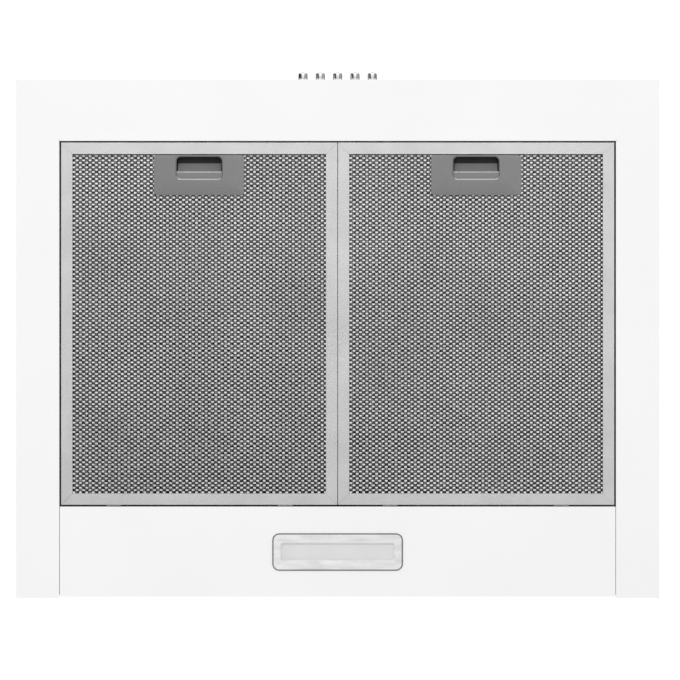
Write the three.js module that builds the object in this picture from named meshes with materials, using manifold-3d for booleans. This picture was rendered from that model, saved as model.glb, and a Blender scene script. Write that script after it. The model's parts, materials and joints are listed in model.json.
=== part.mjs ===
// An under cabinet range hood, 600 mm class: a folded steel shell with two latched grease filters in its
// underside, a lamp behind them, five push buttons in the front band and a centrifugal blower that
// exhausts through a round collar with two damper flaps.
//
// Millimetres. +X is right as seen from the front, +Y points at the wall, +Z is up.
// The origin is the middle of the edge where the cabinet plane (z = 0) meets the wall plane (y = 0).

import * as THREE from "three";
import { mergeVertices } from "three/addons/utils/BufferGeometryUtils.js";
import Module from "manifold-3d";

const wasm = await Module();
wasm.setup();

// ---------------------------------------------------------------- driving dimensions

const WIDTH = 598;
const DEPTH = 482;
const HEIGHT = 140;
const TOP_DEPTH = 290; // flat top, which meets the wall cabinet
const BAND_HEIGHT = 50; // vertical front band with the buttons
const SHEET = 1; // sheet steel
const GAP = 0.3; // between pieces that touch
const LIP = 14; // width of the hidden joining flanges

const FRONT_FLANGE = 57;
const SIDE_FLANGE = 40.2;
const REAR_STRIP = 85; // underside strip that carries the lamp
const HEM_HEIGHT = 12;
const REAR_HEM_HEIGHT = 18;
const PANEL_SEAM = 0.5; // visible seam beside the light panel

const FILTER = { width: 257, depth: 337, height: 9, rail: 10.8, skin: 0.9, wall: 1.2, seam: 0.6 };
const FILTER_GAP = 1.5; // shadow gap round the filters
const FILTER_DROP = 0.2; // how far the filter face sits above the underside

const BUTTON = { pitch: 16.3, radius: 4.3, stemRadius: 2.5, travel: 4, proud: 9.5 };
const COLLAR = { x: 0, y: -100, outer: 59.75, inner: 57.5, flange: 76, height: 58 };
const BLOWER = { x: -118, y: -167, wheelRadius: 74, inletRadius: 62, wall: 2.5, top: -4.5, bottom: -100 };
const LAMP = { width: 121.4, depth: 34.8, y: -42.8, windowWidth: 106.3, windowDepth: 17.4 };

// ---------------------------------------------------------------- planes worked out from them

const SIDE_X = WIDTH / 2;
const FRONT_Y = -DEPTH;
const BOTTOM_Z = -HEIGHT;
const OPENING_X = SIDE_X - SIDE_FLANGE;
const OPENING_FRONT_Y = FRONT_Y + FRONT_FLANGE;
const OPENING_REAR_Y = -REAR_STRIP;
const FLOOR_Z = BOTTOM_Z + SHEET; // upper face of the underside sheets
const NEST = SHEET + GAP; // how deep a sheet sits under the one outside it
const LIP_X = SIDE_X - SHEET - LIP; // inner edge of the side panels' joining flanges

// Outer profile of the shell in (y, z), from the front's lower edge to the wall.
const SHELL_PATH = [
  [FRONT_Y, BOTTOM_Z],
  [FRONT_Y, BOTTOM_Z + BAND_HEIGHT],
  [-TOP_DEPTH, 0],
  [0, 0],
];

// ---------------------------------------------------------------- solids

function solid(geometry) {
  const bare = new THREE.BufferGeometry();
  bare.setAttribute("position", geometry.getAttribute("position"));
  bare.setIndex(geometry.index);
  const merged = mergeVertices(bare, 1e-4);
  return new wasm.Manifold(
    new wasm.Mesh({
      numProp: 3,
      vertProperties: new Float32Array(merged.attributes.position.array),
      triVerts: new Uint32Array(merged.index.array),
    }),
  );
}

function geometryOf(made) {
  const { vertProperties, triVerts } = made.getMesh();
  const geometry = new THREE.BufferGeometry();
  geometry.setAttribute("position", new THREE.BufferAttribute(new Float32Array(vertProperties), 3));
  geometry.setIndex(new THREE.BufferAttribute(new Uint32Array(triVerts), 1));
  geometry.computeVertexNormals();
  return geometry;
}

const join = (first, ...others) => others.reduce((sum, other) => sum.add(other), first);
const cut = (first, ...others) => others.reduce((rest, other) => rest.subtract(other), first);

// A box between two corners.
function block([x0, x1], [y0, y1], [z0, z1]) {
  const geometry = new THREE.BoxGeometry(x1 - x0, y1 - y0, z1 - z0);
  return solid(geometry.translate((x0 + x1) / 2, (y0 + y1) / 2, (z0 + z1) / 2));
}

const AXES = {
  x: new THREE.Matrix4().makeBasis(
    new THREE.Vector3(0, 1, 0),
    new THREE.Vector3(0, 0, 1),
    new THREE.Vector3(1, 0, 0),
  ),
  y: new THREE.Matrix4().makeBasis(
    new THREE.Vector3(0, 0, 1),
    new THREE.Vector3(1, 0, 0),
    new THREE.Vector3(0, 1, 0),
  ),
  z: new THREE.Matrix4(),
};

// A shape swept along an axis between two stations: (y, z) along x, (z, x) along y, (x, y) along z.
function prism(axis, shape, [from, to], curveSegments = 6) {
  const outline = Array.isArray(shape) ? new THREE.Shape(shape.map((p) => new THREE.Vector2(...p))) : shape;
  const geometry = new THREE.ExtrudeGeometry(outline, {
    depth: to - from,
    bevelEnabled: false,
    curveSegments,
  });
  return solid(geometry.translate(0, 0, from).applyMatrix4(AXES[axis]));
}

function circle(u, v, radius) {
  return new THREE.Shape().absarc(u, v, radius, 0, 2 * Math.PI);
}

// A round bar along an axis. Its centre is given in the same two coordinates that prism() uses.
function bar(axis, [u, v], radius, span, segments = 16) {
  return prism(axis, circle(u, v, radius), span, segments);
}

function roundedRectangle(cx, cy, width, depth, radius) {
  const [x0, x1, y0, y1] = [cx - width / 2, cx + width / 2, cy - depth / 2, cy + depth / 2];
  const shape = new THREE.Shape();
  shape.moveTo(x0 + radius, y0);
  shape.absarc(x1 - radius, y0 + radius, radius, -Math.PI / 2, 0);
  shape.absarc(x1 - radius, y1 - radius, radius, 0, Math.PI / 2);
  shape.absarc(x0 + radius, y1 - radius, radius, Math.PI / 2, Math.PI);
  shape.absarc(x0 + radius, y0 + radius, radius, Math.PI, 1.5 * Math.PI);
  return shape;
}

// The path moved to its right by a distance, with mitred corners.
function inset(path, distance) {
  const right = path.slice(1).map(([u, v], i) => {
    const [du, dv] = [u - path[i][0], v - path[i][1]];
    const length = Math.hypot(du, dv);
    return [dv / length, -du / length];
  });
  return path.map(([u, v], i) => {
    const a = right[Math.max(i - 1, 0)];
    const b = right[Math.min(i, right.length - 1)];
    const scale = distance / (1 + a[0] * b[0] + a[1] * b[1]);
    return [u + (a[0] + b[0]) * scale, v + (a[1] + b[1]) * scale];
  });
}

// A folded sheet: a (y, z) path thickened to its right and swept across x.
function foldedSheet(path, span) {
  return prism("x", [...path, ...inset(path, SHEET).reverse()], span);
}

// A closed (radius, station) profile turned round an axis through (u, v), which are as in prism().
function revolve(profile, u, v, segments = 36, axis = "z") {
  const points = [...profile, profile[0]].map(([r, station]) => new THREE.Vector2(r, station));
  const geometry = new THREE.LatheGeometry(points, segments);
  geometry.rotateX(Math.PI / 2).translate(u, v, 0).applyMatrix4(AXES[axis]);
  const turned = solid(geometry);
  return turned.volume() > 0 ? turned : solid(flipped(geometry));
}

function flipped(geometry) {
  const index = Array.from(geometry.index.array);
  for (let i = 0; i < index.length; i += 3) [index[i], index[i + 1]] = [index[i + 1], index[i]];
  return geometry.clone().setIndex(index);
}

function sweep(curve, radius, steps, sides = 8) {
  const section = new THREE.Shape();
  section.absarc(0, 0, radius, 0, 2 * Math.PI);
  const corners = Array.from({ length: sides }, (_, i) => {
    const angle = (2 * Math.PI * i) / sides;
    return new THREE.Vector2(radius * Math.cos(angle), radius * Math.sin(angle));
  });
  return solid(
    new THREE.ExtrudeGeometry(new THREE.Shape(corners), { steps, extrudePath: curve, bevelEnabled: false }),
  );
}

class Helix extends THREE.Curve {
  constructor(centre, radius, turns, length) {
    super();
    Object.assign(this, { centre, radius, turns, length });
  }

  // Coils along +y from the centre of its first end.
  getPoint(t, target = new THREE.Vector3()) {
    const angle = 2 * Math.PI * this.turns * t;
    return target.set(
      this.centre[0] + this.radius * Math.cos(angle),
      this.centre[1] + this.length * t,
      this.centre[2] + this.radius * Math.sin(angle),
    );
  }
}

function spring([x, y, z], outerRadius, wire, turns, length) {
  const curve = new Helix([x, y + wire, z], outerRadius - wire, turns, length - 2 * wire);
  return sweep(curve, wire, turns * 9, 5);
}

function cable(points, radius, steps) {
  return sweep(new THREE.CatmullRomCurve3(points.map((p) => new THREE.Vector3(...p))), radius, steps);
}

// ---------------------------------------------------------------- materials

const paint = new THREE.MeshStandardMaterial({ color: 0xf4f4f4, roughness: 0.35, metalness: 0 });
const aluminium = new THREE.MeshStandardMaterial({ color: 0xc9c9c9, roughness: 0.4, metalness: 1 });
const mesh = new THREE.MeshStandardMaterial({ color: 0xb8b8b8, roughness: 0.3, metalness: 1 });
const chrome = new THREE.MeshStandardMaterial({ color: 0xdedede, roughness: 0.08, metalness: 1 });
const steel = new THREE.MeshStandardMaterial({ color: 0xa8abad, roughness: 0.35, metalness: 1 });
const greyPlastic = new THREE.MeshStandardMaterial({ color: 0x858585, roughness: 0.5, metalness: 0 });
const blackPlastic = new THREE.MeshStandardMaterial({ color: 0x1b1b1d, roughness: 0.5, metalness: 0 });
const whitePlastic = new THREE.MeshStandardMaterial({ color: 0xe6e6e4, roughness: 0.45, metalness: 0 });
const diffuser = new THREE.MeshStandardMaterial({ color: 0xdddddd, roughness: 0.6, metalness: 0 });
const board = new THREE.MeshStandardMaterial({ color: 0xe8ebe8, roughness: 0.5, metalness: 0 });
const cableJacket = new THREE.MeshStandardMaterial({ color: 0x9a9a9a, roughness: 0.6, metalness: 0 });

const hood = new THREE.Group();

function addPiece(name, made, material) {
  const piece = new THREE.Mesh(geometryOf(made), material);
  piece.name = name;
  hood.add(piece);
}

// ---------------------------------------------------------------- shell

// The wedge of the front corner beyond the mitre line, on the side x > 0.
function mitreWedge(shift, [z0, z1]) {
  const over = 1;
  return prism(
    "z",
    [
      [SIDE_X, FRONT_Y + shift],
      [SIDE_X + over, FRONT_Y + shift],
      [SIDE_X + over, OPENING_FRONT_Y + over],
      [OPENING_X, OPENING_FRONT_Y + over],
      [OPENING_X, OPENING_FRONT_Y + shift],
    ],
    [z0, z1],
  );
}

const mirrored = (made) => made.scale([-1, 1, 1]);

const BAND_MIDDLE_Z = BOTTOM_Z + BAND_HEIGHT / 2;
const buttonXs = [-2, -1, 0, 1, 2].map((i) => i * BUTTON.pitch);
const filterXs = [-1, 1].map((side) => (side * (FILTER.width + FILTER.seam)) / 2);
const TONGUE = { width: 14, low: 3.4, high: 5.6 }; // heights above the filter's lower face
const TAB = { offset: 80, width: 14, low: 5.6, high: 6.8, reach: 8.5 };

const FILTER_Z = BOTTOM_Z + FILTER_DROP; // lower face of the filters
const FILTER_FRONT_Y = OPENING_FRONT_Y + FILTER_GAP;
const FILTER_REAR_Y = FILTER_FRONT_Y + FILTER.depth;

function frontPanel() {
  const nested = inset(SHELL_PATH, NEST);
  const [[, topZ], [, endZ]] = [nested[1], nested[2]];
  const slope = Math.atan2(endZ - topZ, nested[2][0] - nested[1][0]);
  const bendZ = topZ - NEST * Math.tan(slope);
  const path = [
    [OPENING_FRONT_Y, BOTTOM_Z + HEM_HEIGHT],
    [OPENING_FRONT_Y, BOTTOM_Z],
    [FRONT_Y, BOTTOM_Z],
    [FRONT_Y, bendZ],
    [FRONT_Y + LIP * Math.cos(slope), bendZ + LIP * Math.sin(slope)],
  ];
  const folded = foldedSheet(path, [-SIDE_X, SIDE_X]);
  const mitre = mitreWedge(0, [BOTTOM_Z - 1, FLOOR_Z + GAP]);
  const hemEnd = block(
    [OPENING_X - GAP, SIDE_X + 1],
    [OPENING_FRONT_Y - 5, OPENING_FRONT_Y + 1],
    [FLOOR_Z - 0.5, BOTTOM_Z + HEM_HEIGHT + 1],
  );
  const lipEnd = block([LIP_X - GAP, SIDE_X + 1], [FRONT_Y + SHEET, FRONT_Y + 40], [bendZ - 2, 0]);
  const corner = join(mitre, hemEnd, lipEnd);
  const buttonHoles = buttonXs.map((x) =>
    bar("y", [BAND_MIDDLE_Z, x], BUTTON.radius + 0.5, [FRONT_Y - 1, FRONT_Y + 3], 10),
  );
  const keepers = filterXs.map((x) =>
    block(
      [x - TONGUE.width / 2 - 1, x + TONGUE.width / 2 + 1],
      [OPENING_FRONT_Y - 3, OPENING_FRONT_Y + 1],
      [FILTER_Z + TONGUE.low - 0.6, FILTER_Z + TONGUE.high + 0.6],
    ),
  );
  return cut(folded, corner, mirrored(corner), ...buttonHoles, ...keepers);
}

// The panel on the side x > 0.
function sidePanel() {
  const nested = inset(SHELL_PATH, NEST);
  const wall = prism(
    "x",
    [[nested[0][0], BOTTOM_Z], nested[1], nested[2], [0, nested[3][1]], [0, BOTTOM_Z]],
    [SIDE_X - SHEET, SIDE_X],
  );
  const flange = block([OPENING_X, SIDE_X], [FRONT_Y, 0], [BOTTOM_Z, FLOOR_Z]);
  const hem = block(
    [OPENING_X, OPENING_X + SHEET],
    [OPENING_FRONT_Y, -3 * NEST],
    [BOTTOM_Z, BOTTOM_Z + HEM_HEIGHT],
  );
  const lipPath = [
    [nested[0][0], BOTTOM_Z + NEST],
    nested[1],
    nested[2],
    [-2 * NEST, nested[3][1]],
  ];
  const lip = foldedSheet(lipPath, [LIP_X, SIDE_X - SHEET / 2]);
  const rearLip = block([LIP_X, SIDE_X], [-SHEET, 0], [BOTTOM_Z, -NEST]);
  const mitre = mitreFront(0.5);
  return cut(join(wall, flange, hem, lip, rearLip), mitre);
}

// Everything in front of the mitre line near the underside, which is the front panel's.
function mitreFront(shift) {
  return prism(
    "z",
    [
      [SIDE_X + 1, FRONT_Y - 1],
      [SIDE_X + 1, FRONT_Y + shift],
      [SIDE_X, FRONT_Y + shift],
      [OPENING_X, OPENING_FRONT_Y + shift],
      [OPENING_X - 1, OPENING_FRONT_Y + shift],
      [OPENING_X - 1, FRONT_Y - 1],
    ],
    [BOTTOM_Z - 1, FLOOR_Z + GAP],
  );
}

const KEYHOLE = { head: 5, slot: 2.6, length: 9 };

// A keyhole in (u, v) whose slot runs towards +v.
function keyhole(axis, u, v, span) {
  return join(
    bar(axis, [u, v], KEYHOLE.head, span, 8),
    bar(axis, [u, v + KEYHOLE.length], KEYHOLE.slot, span, 6),
    prism(
      axis,
      [
        [u - KEYHOLE.slot, v],
        [u + KEYHOLE.slot, v],
        [u + KEYHOLE.slot, v + KEYHOLE.length],
        [u - KEYHOLE.slot, v + KEYHOLE.length],
      ],
      span,
    ),
  );
}

const CABINET_SCREW = { x: 270, ys: [-60, -250] };
const WALL_SCREW = { x: 220, z: -44 };
const COLLAR_SCREW_X = 68;
const SCREW = { shank: 1.5, head: 3.5, cone: 1.9, clearance: 0.35 };
const GLAND = { x: 195, y: -50, radius: 7 };

function topCover() {
  const sheet = foldedSheet(SHELL_PATH.slice(1), [-SIDE_X, SIDE_X]);
  const through = [-3, 2];
  const slots = [-1, 1].flatMap((side) =>
    CABINET_SCREW.ys.map((y) => keyhole("z", side * CABINET_SCREW.x, y, through)),
  );
  const duct = bar("z", [COLLAR.x, COLLAR.y], COLLAR.outer + 0.8, through, 18);
  const screws = [-1, 1].map((side) => collarScrew(side, SCREW.clearance));
  const gland = bar("z", [GLAND.x, GLAND.y], GLAND.radius + 0.4, through, 8);
  return cut(sheet, duct, gland, ...slots, ...screws);
}

const PANEL_SCREW = { x: 150, z: BOTTOM_Z + 8 };

// The lower edge steps inwards so that the light panel's rear flange lies flush over it.
function backPanel() {
  const stepZ = BOTTOM_Z + LIP + 4;
  const path = [
    [-NEST - LIP, -NEST],
    [-NEST, -NEST],
    [-NEST, stepZ],
    [-2 * NEST, stepZ - 2],
    [-2 * NEST, BOTTOM_Z + NEST],
  ];
  const half = SIDE_X - NEST;
  const folded = foldedSheet(path, [-half, half]);
  const corner = block([LIP_X - GAP, SIDE_X], [-NEST - LIP - 1, -NEST - SHEET], [-4, 0]);
  const through = [-5, 1];
  const keyholes = [-1, 1].map((side) => keyholeUp(side * WALL_SCREW.x, WALL_SCREW.z, through));
  const screws = [-1, 1].map((side) => panelScrew(side, SCREW.clearance));
  return cut(folded, corner, mirrored(corner), ...keyholes, ...screws);
}

// A keyhole in a wall that faces y, with its slot upwards.
function keyholeUp(x, z, span) {
  return join(
    bar("y", [z, x], KEYHOLE.head, span, 8),
    bar("y", [z + KEYHOLE.length, x], KEYHOLE.slot, span, 6),
    block([x - KEYHOLE.slot, x + KEYHOLE.slot], span, [z, z + KEYHOLE.length]),
  );
}

const LAMP_CUTOUT = { width: 117, depth: 30.5, radius: 4.5 };

function lightPanel() {
  const half = OPENING_X - PANEL_SEAM;
  const rearY = -NEST;
  const path = [
    [rearY, BOTTOM_Z + LIP],
    [rearY, BOTTOM_Z],
    [OPENING_REAR_Y, BOTTOM_Z],
    [OPENING_REAR_Y, BOTTOM_Z + REAR_HEM_HEIGHT],
  ];
  const folded = foldedSheet(path, [-half, half]);
  const side = block([half - SHEET, half], [OPENING_REAR_Y, -3 * NEST], [BOTTOM_Z, BOTTOM_Z + HEM_HEIGHT]);
  const lampHole = prism(
    "z",
    roundedRectangle(0, LAMP.y, LAMP_CUTOUT.width, LAMP_CUTOUT.depth, LAMP_CUTOUT.radius),
    [BOTTOM_Z - 1, FLOOR_Z + 1],
  );
  const tabSlots = tabXs().map((x) =>
    block(
      [x - TAB.width / 2 - 1, x + TAB.width / 2 + 1],
      [OPENING_REAR_Y - 1, OPENING_REAR_Y + 3],
      [FILTER_Z + TAB.low - 0.6, FILTER_Z + TAB.high + 5],
    ),
  );
  const screws = [-1, 1].map((s) => panelScrew(s, SCREW.clearance));
  return cut(join(folded, side, mirrored(side)), lampHole, ...tabSlots, ...screws);
}

function tabXs() {
  return filterXs.flatMap((x) => [x - TAB.offset, x + TAB.offset]);
}

// A countersunk screw, its head flush in a wall that faces along its axis. With a clearance it is the
// hole for itself.
function countersunk(axis, [u, v], wall, length, clearance) {
  const face = wall - 0.1;
  const end = face - length - 4 * clearance;
  const profile = [
    [0, end],
    [SCREW.shank + clearance, end],
    [SCREW.shank + clearance, face - SCREW.cone],
    [SCREW.head + clearance, face],
    [SCREW.head + clearance, face + 2 * clearance],
    [0, face + 2 * clearance],
  ];
  return revolve(clearance ? profile : profile.toSpliced(4, 1), u, v, 12, axis);
}

function collarScrew(side, clearance) {
  return countersunk("z", [side * COLLAR_SCREW_X, COLLAR.y], 0, 3.8, clearance);
}

function panelScrew(side, clearance) {
  return countersunk("y", [PANEL_SCREW.z, side * PANEL_SCREW.x], -NEST, 6, clearance);
}

addPiece("front_panel", frontPanel(), paint);
addPiece("right_side_panel", sidePanel(), paint);
addPiece("left_side_panel", mirrored(sidePanel()), paint);
addPiece("top_cover", topCover(), paint);
addPiece("back_panel", backPanel(), paint);
addPiece("light_panel", lightPanel(), paint);
for (const [side, label] of [[-1, "left"], [1, "right"]]) {
  addPiece(`light_panel_screw_${label}`, panelScrew(side, 0), steel);
}

// ---------------------------------------------------------------- lamp

function lamp() {
  const { width, depth, y, windowWidth, windowDepth } = LAMP;
  const faceZ = BOTTOM_Z - GAP;
  const skirt = { width: LAMP_CUTOUT.width - 1, depth: LAMP_CUTOUT.depth - 1, wall: 2, top: BOTTOM_Z + 6 };
  const flangeBottom = faceZ - 1.5;
  const seatZ = faceZ + 0.1;
  const pocketWidth = skirt.width - 2 * skirt.wall;
  const pocketDepth = skirt.depth - 2 * skirt.wall;

  const bezel = cut(
    join(
      prism("z", roundedRectangle(0, y, width, depth, 6), [flangeBottom, faceZ]),
      prism("z", roundedRectangle(0, y, skirt.width, skirt.depth, 4), [faceZ - 0.5, skirt.top]),
    ),
    prism("z", roundedRectangle(0, y, windowWidth, windowDepth, 2), [flangeBottom - 1, faceZ + 1]),
    prism("z", roundedRectangle(0, y, pocketWidth, pocketDepth, 2.5), [seatZ, skirt.top + 1]),
  );
  addPiece("lamp_bezel", bezel, whitePlastic);

  const lens = join(
    prism("z", roundedRectangle(0, y, pocketWidth - 1, pocketDepth - 1, 2), [seatZ + GAP, seatZ + GAP + 1.5]),
    prism("z", roundedRectangle(0, y, windowWidth - 0.6, windowDepth - 0.6, 1.8), [
      flangeBottom + 0.5,
      seatZ + GAP + 0.5,
    ]),
  );
  addPiece("lamp_diffuser", lens, diffuser);

  const cap = { low: skirt.top + GAP, high: skirt.top + 15 };
  const [halfW, halfD] = [skirt.width / 2, skirt.depth / 2];
  const housing = cut(
    block([-halfW, halfW], [y - halfD, y + halfD], [cap.low, cap.high]),
    block([-halfW + 1.5, halfW - 1.5], [y - halfD + 1.5, y + halfD - 1.5], [cap.low - 1, cap.high - 1.5]),
  );
  addPiece("lamp_housing", housing, whitePlastic);

  const chips = Array.from({ length: 8 }, (_, i) => {
    const x = (i - 3.5) * 12;
    return block([x - 1.5, x + 1.5], [y - 1.5, y + 1.5], [cap.low + 2.2, cap.low + 3.4]);
  });
  const ledBoard = join(block([-52, 52], [y - 8, y + 8], [cap.low + 3.2, cap.low + 4.8]), ...chips);
  addPiece("led_board", ledBoard, board);
  return cap.high;
}

const lampTopZ = lamp();

// ---------------------------------------------------------------- grease filters

const HANDLE = { width: 84, depth: 38, thickness: 1.2, windowWidth: 42.4, windowDepth: 21.8, windowInset: 2.2 };
const BASE = { width: 50, wall: 1.2, depth: 36.4, top: 8.6 };
const LATCH = { cupWidth: 41, cupDepth: 13.3, cupWall: 1.2, cupTop: 6.8, plateDepth: 12.5, travel: 5 };

function filter(side, x) {
  const front = FILTER_FRONT_Y;
  const rear = FILTER_REAR_Y;
  const z = FILTER_Z;
  const half = FILTER.width / 2;
  const windowFront = front + FILTER.rail;

  const inner = (margin, low, high) =>
    block([x - half + margin, x + half - margin], [front + margin, rear - margin], [z + low, z + high]);
  const ring = cut(
    inner(0, 0, FILTER.height),
    inner(FILTER.rail, -1, FILTER.height + 1),
    inner(FILTER.wall, FILTER.skin, FILTER.height - FILTER.skin),
  );
  const tongueSlot = block(
    [x - TONGUE.width / 2 - 1, x + TONGUE.width / 2 + 1],
    [front - 1, front + FILTER.wall + 0.5],
    [z + TONGUE.low - 0.6, z + TONGUE.high + 0.6],
  );
  const tabs = [-1, 1].map((s) =>
    block(
      [x + s * TAB.offset - TAB.width / 2, x + s * TAB.offset + TAB.width / 2],
      [rear - FILTER.wall / 2, rear + TAB.reach],
      [z + TAB.low, z + TAB.high],
    ),
  );
  addPiece(`${side}_filter_frame`, cut(join(ring, ...tabs), tongueSlot), aluminium);

  // Three layers of expanded metal, notched round the handle.
  const margin = FILTER.wall + GAP;
  const notch = block(
    [x - BASE.width / 2 - 0.5, x + BASE.width / 2 + 0.5],
    [front, windowFront + BASE.depth + 1],
    [z - 1, z + FILTER.height + 1],
  );
  addPiece(`${side}_filter_outer_mesh`, cut(inner(margin, 1.2, 1.7), notch), mesh);
  addPiece(`${side}_filter_back_mesh`, cut(inner(margin, 7.3, 7.8), notch), mesh);
  addPiece(`${side}_filter_core`, cut(corrugated(x, half - margin, front + margin, rear - margin, z), notch), mesh);

  handle(side, x, windowFront, z);
}

// A zigzag sheet between the outer and back layers, its ridges running along x.
function corrugated(x, halfWidth, front, rear, z) {
  const [low, high, thickness] = [2.1, 6.5, 0.4];
  const folds = 44;
  const pitch = (rear - front) / folds;
  const ridge = Array.from({ length: folds + 1 }, (_, i) => [front + i * pitch, z + (i % 2 ? high : low)]);
  const under = ridge.map(([y, v]) => [y, v + thickness]).reverse();
  return prism("x", [...ridge, ...under], [x - halfWidth, x + halfWidth]);
}

function handle(side, x, windowFront, z) {
  const coverFront = windowFront + GAP;
  const coverTop = z + FILTER.skin;
  const coverBottom = coverTop - HANDLE.thickness;
  const coverMiddle = coverFront + HANDLE.depth / 2;
  const windowStart = coverFront + HANDLE.windowInset;
  const windowMiddle = windowStart + HANDLE.windowDepth / 2;
  const cover = cut(
    prism("z", roundedRectangle(x, coverMiddle, HANDLE.width, HANDLE.depth, 3.5), [coverBottom, coverTop]),
    prism("z", roundedRectangle(x, windowMiddle, HANDLE.windowWidth, HANDLE.windowDepth, 4.5), [
      coverBottom - 1,
      coverTop + 1,
    ]),
  );
  addPiece(`${side}_handle_cover`, cover, greyPlastic);

  const baseLow = coverTop + GAP;
  const baseHigh = z + BASE.top;
  const baseRear = coverFront + BASE.depth;
  const halfBase = BASE.width / 2;
  const base = cut(
    block([x - halfBase, x + halfBase], [coverFront, baseRear], [baseLow, baseHigh]),
    block(
      [x - halfBase + BASE.wall, x + halfBase - BASE.wall],
      [coverFront + BASE.wall, baseRear - BASE.wall],
      [baseLow - 1, baseHigh - 1],
    ),
    block(
      [x - TONGUE.width / 2 - 0.5, x + TONGUE.width / 2 + 0.5],
      [coverFront - 1, coverFront + BASE.wall + 1],
      [z + TONGUE.low - 0.4, z + TONGUE.high + 0.4],
    ),
  );
  addPiece(`${side}_handle_base`, base, blackPlastic);

  // The finger cup, the plate behind it and the tongue move as one.
  const cupFront = windowStart + 0.5;
  const cupRear = cupFront + LATCH.cupDepth;
  const cupLow = baseLow;
  const cupHigh = z + LATCH.cupTop;
  const halfCup = LATCH.cupWidth / 2;
  const tongueTip = FILTER_FRONT_Y - FILTER_GAP + 0.4;
  const slider = cut(
    join(
      block([x - halfCup, x + halfCup], [cupFront, cupRear], [cupLow, cupHigh]),
      block([x - halfCup, x + halfCup], [cupRear - 1, cupRear + LATCH.plateDepth], [cupLow, cupLow + 1.2]),
      block(
        [x - TONGUE.width / 2, x + TONGUE.width / 2],
        [tongueTip, cupFront + LATCH.cupWall],
        [z + TONGUE.low, z + TONGUE.high],
      ),
    ),
    block(
      [x - halfCup + LATCH.cupWall, x + halfCup - LATCH.cupWall],
      [cupFront + LATCH.cupWall, cupRear - LATCH.cupWall],
      [cupLow - 1, cupHigh - LATCH.cupWall],
    ),
  );
  addPiece(`${side}_latch_slider`, slider, greyPlastic);

  const springStart = cupRear + GAP;
  const springEnd = baseRear - BASE.wall - GAP;
  const springZ = cupLow + 1.2 + GAP + 2;
  const coil = spring([x, springStart, springZ], 2, 0.25, 6, springEnd - springStart);
  addPiece(`${side}_latch_spring`, coil, steel);
}

filter("left", filterXs[0]);
filter("right", filterXs[1]);

// ---------------------------------------------------------------- push buttons and switch

const SWITCH = { half: 46, front: FRONT_Y + 8, rear: FRONT_Y + 34, height: 22 };
const STEM_END = SWITCH.front + 8;
const SPRING_END = SWITCH.rear - 3.5;
const buttonNames = ["button_off", "button_speed_1", "button_speed_2", "button_speed_3", "button_light"];

function button(name, x) {
  const tip = FRONT_Y - BUTTON.proud;
  const shoulder = FRONT_Y + 3;
  const centre = [BAND_MIDDLE_Z, x];
  const cap = join(
    bar("y", centre, BUTTON.radius - 0.6, [tip, tip + 0.7], 10),
    bar("y", centre, BUTTON.radius, [tip + 0.6, shoulder], 10),
    bar("y", centre, BUTTON.stemRadius, [shoulder - 0.5, STEM_END], 6),
  );
  addPiece(name, cap, chrome);
  const coil = spring([x, STEM_END + GAP, BAND_MIDDLE_Z], 2.2, 0.3, 5, SPRING_END - GAP - STEM_END - GAP);
  addPiece(`${name}_spring`, coil, steel);
}

function switchBody() {
  const [low, high] = [BAND_MIDDLE_Z - SWITCH.height / 2, BAND_MIDDLE_Z + SWITCH.height / 2];
  const box = block([-SWITCH.half, SWITCH.half], [SWITCH.front, SWITCH.rear], [low, high]);
  const bores = buttonXs.map((x) =>
    bar("y", [BAND_MIDDLE_Z, x], BUTTON.stemRadius + 0.4, [SWITCH.front - 1, SPRING_END], 6),
  );
  return cut(box, ...bores);
}

function switchBracket() {
  const shelfZ = BAND_MIDDLE_Z - SWITCH.height / 2 - GAP;
  const front = FRONT_Y + NEST;
  const path = [
    [front, shelfZ + 5],
    [front, shelfZ - SHEET],
    [SWITCH.rear, shelfZ - SHEET],
  ];
  const half = SWITCH.half + 12;
  return prism("x", [...path, ...inset(path, -SHEET).reverse()], [-half, half]);
}

buttonNames.forEach((name, i) => button(name, buttonXs[i]));
addPiece("switch_body", switchBody(), blackPlastic);
addPiece("switch_bracket", switchBracket(), steel);

// ---------------------------------------------------------------- blower

const CHAMBER = { half: 63, front: COLLAR.y - 63, rear: COLLAR.y + 63 };
const SCROLL = { tongue: 46, start: 82, growth: 48, turn: 316 }; // degrees and millimetres

// The volute's spiral, from its tongue clockwise seen from above, moved outwards by an offset.
function scrollOutline(offset) {
  const steps = 40;
  return Array.from({ length: steps + 1 }, (_, i) => {
    const swept = (SCROLL.turn * i) / steps;
    const angle = THREE.MathUtils.degToRad(SCROLL.tongue - swept);
    const radius = SCROLL.start + (SCROLL.growth * swept) / SCROLL.turn + offset;
    return [BLOWER.x + radius * Math.cos(angle), BLOWER.y + radius * Math.sin(angle)];
  }).reverse();
}

// The footprint shared by the housing and its inlet cover: the volute and the chamber under the collar.
function blowerFootprint(offset, span) {
  const outlet = [BLOWER.y + 60, CHAMBER.rear + offset];
  return join(
    prism("z", scrollOutline(offset), span),
    block([-CHAMBER.half - offset, CHAMBER.half + offset], [CHAMBER.front - offset, CHAMBER.rear + offset], span),
    block([BLOWER.x, 0], outlet, span),
  );
}

const MOTOR_CABLE_ANGLE = THREE.MathUtils.degToRad(-60);

function blowerHousing() {
  const { wall, top, bottom } = BLOWER;
  const shell = cut(
    blowerFootprint(wall, [bottom, top]),
    blowerFootprint(0, [bottom - 1, top - wall]),
    bar("z", [COLLAR.x, COLLAR.y], COLLAR.outer - 1.75, [top - wall - 1, top + 1], 18),
    motorCableHole(),
  );
  const cutoff = bar("z", [-CHAMBER.half, BLOWER.y + 60], 4, [bottom, top - wall / 2], 5);
  return join(shell, cutoff);
}

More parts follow.
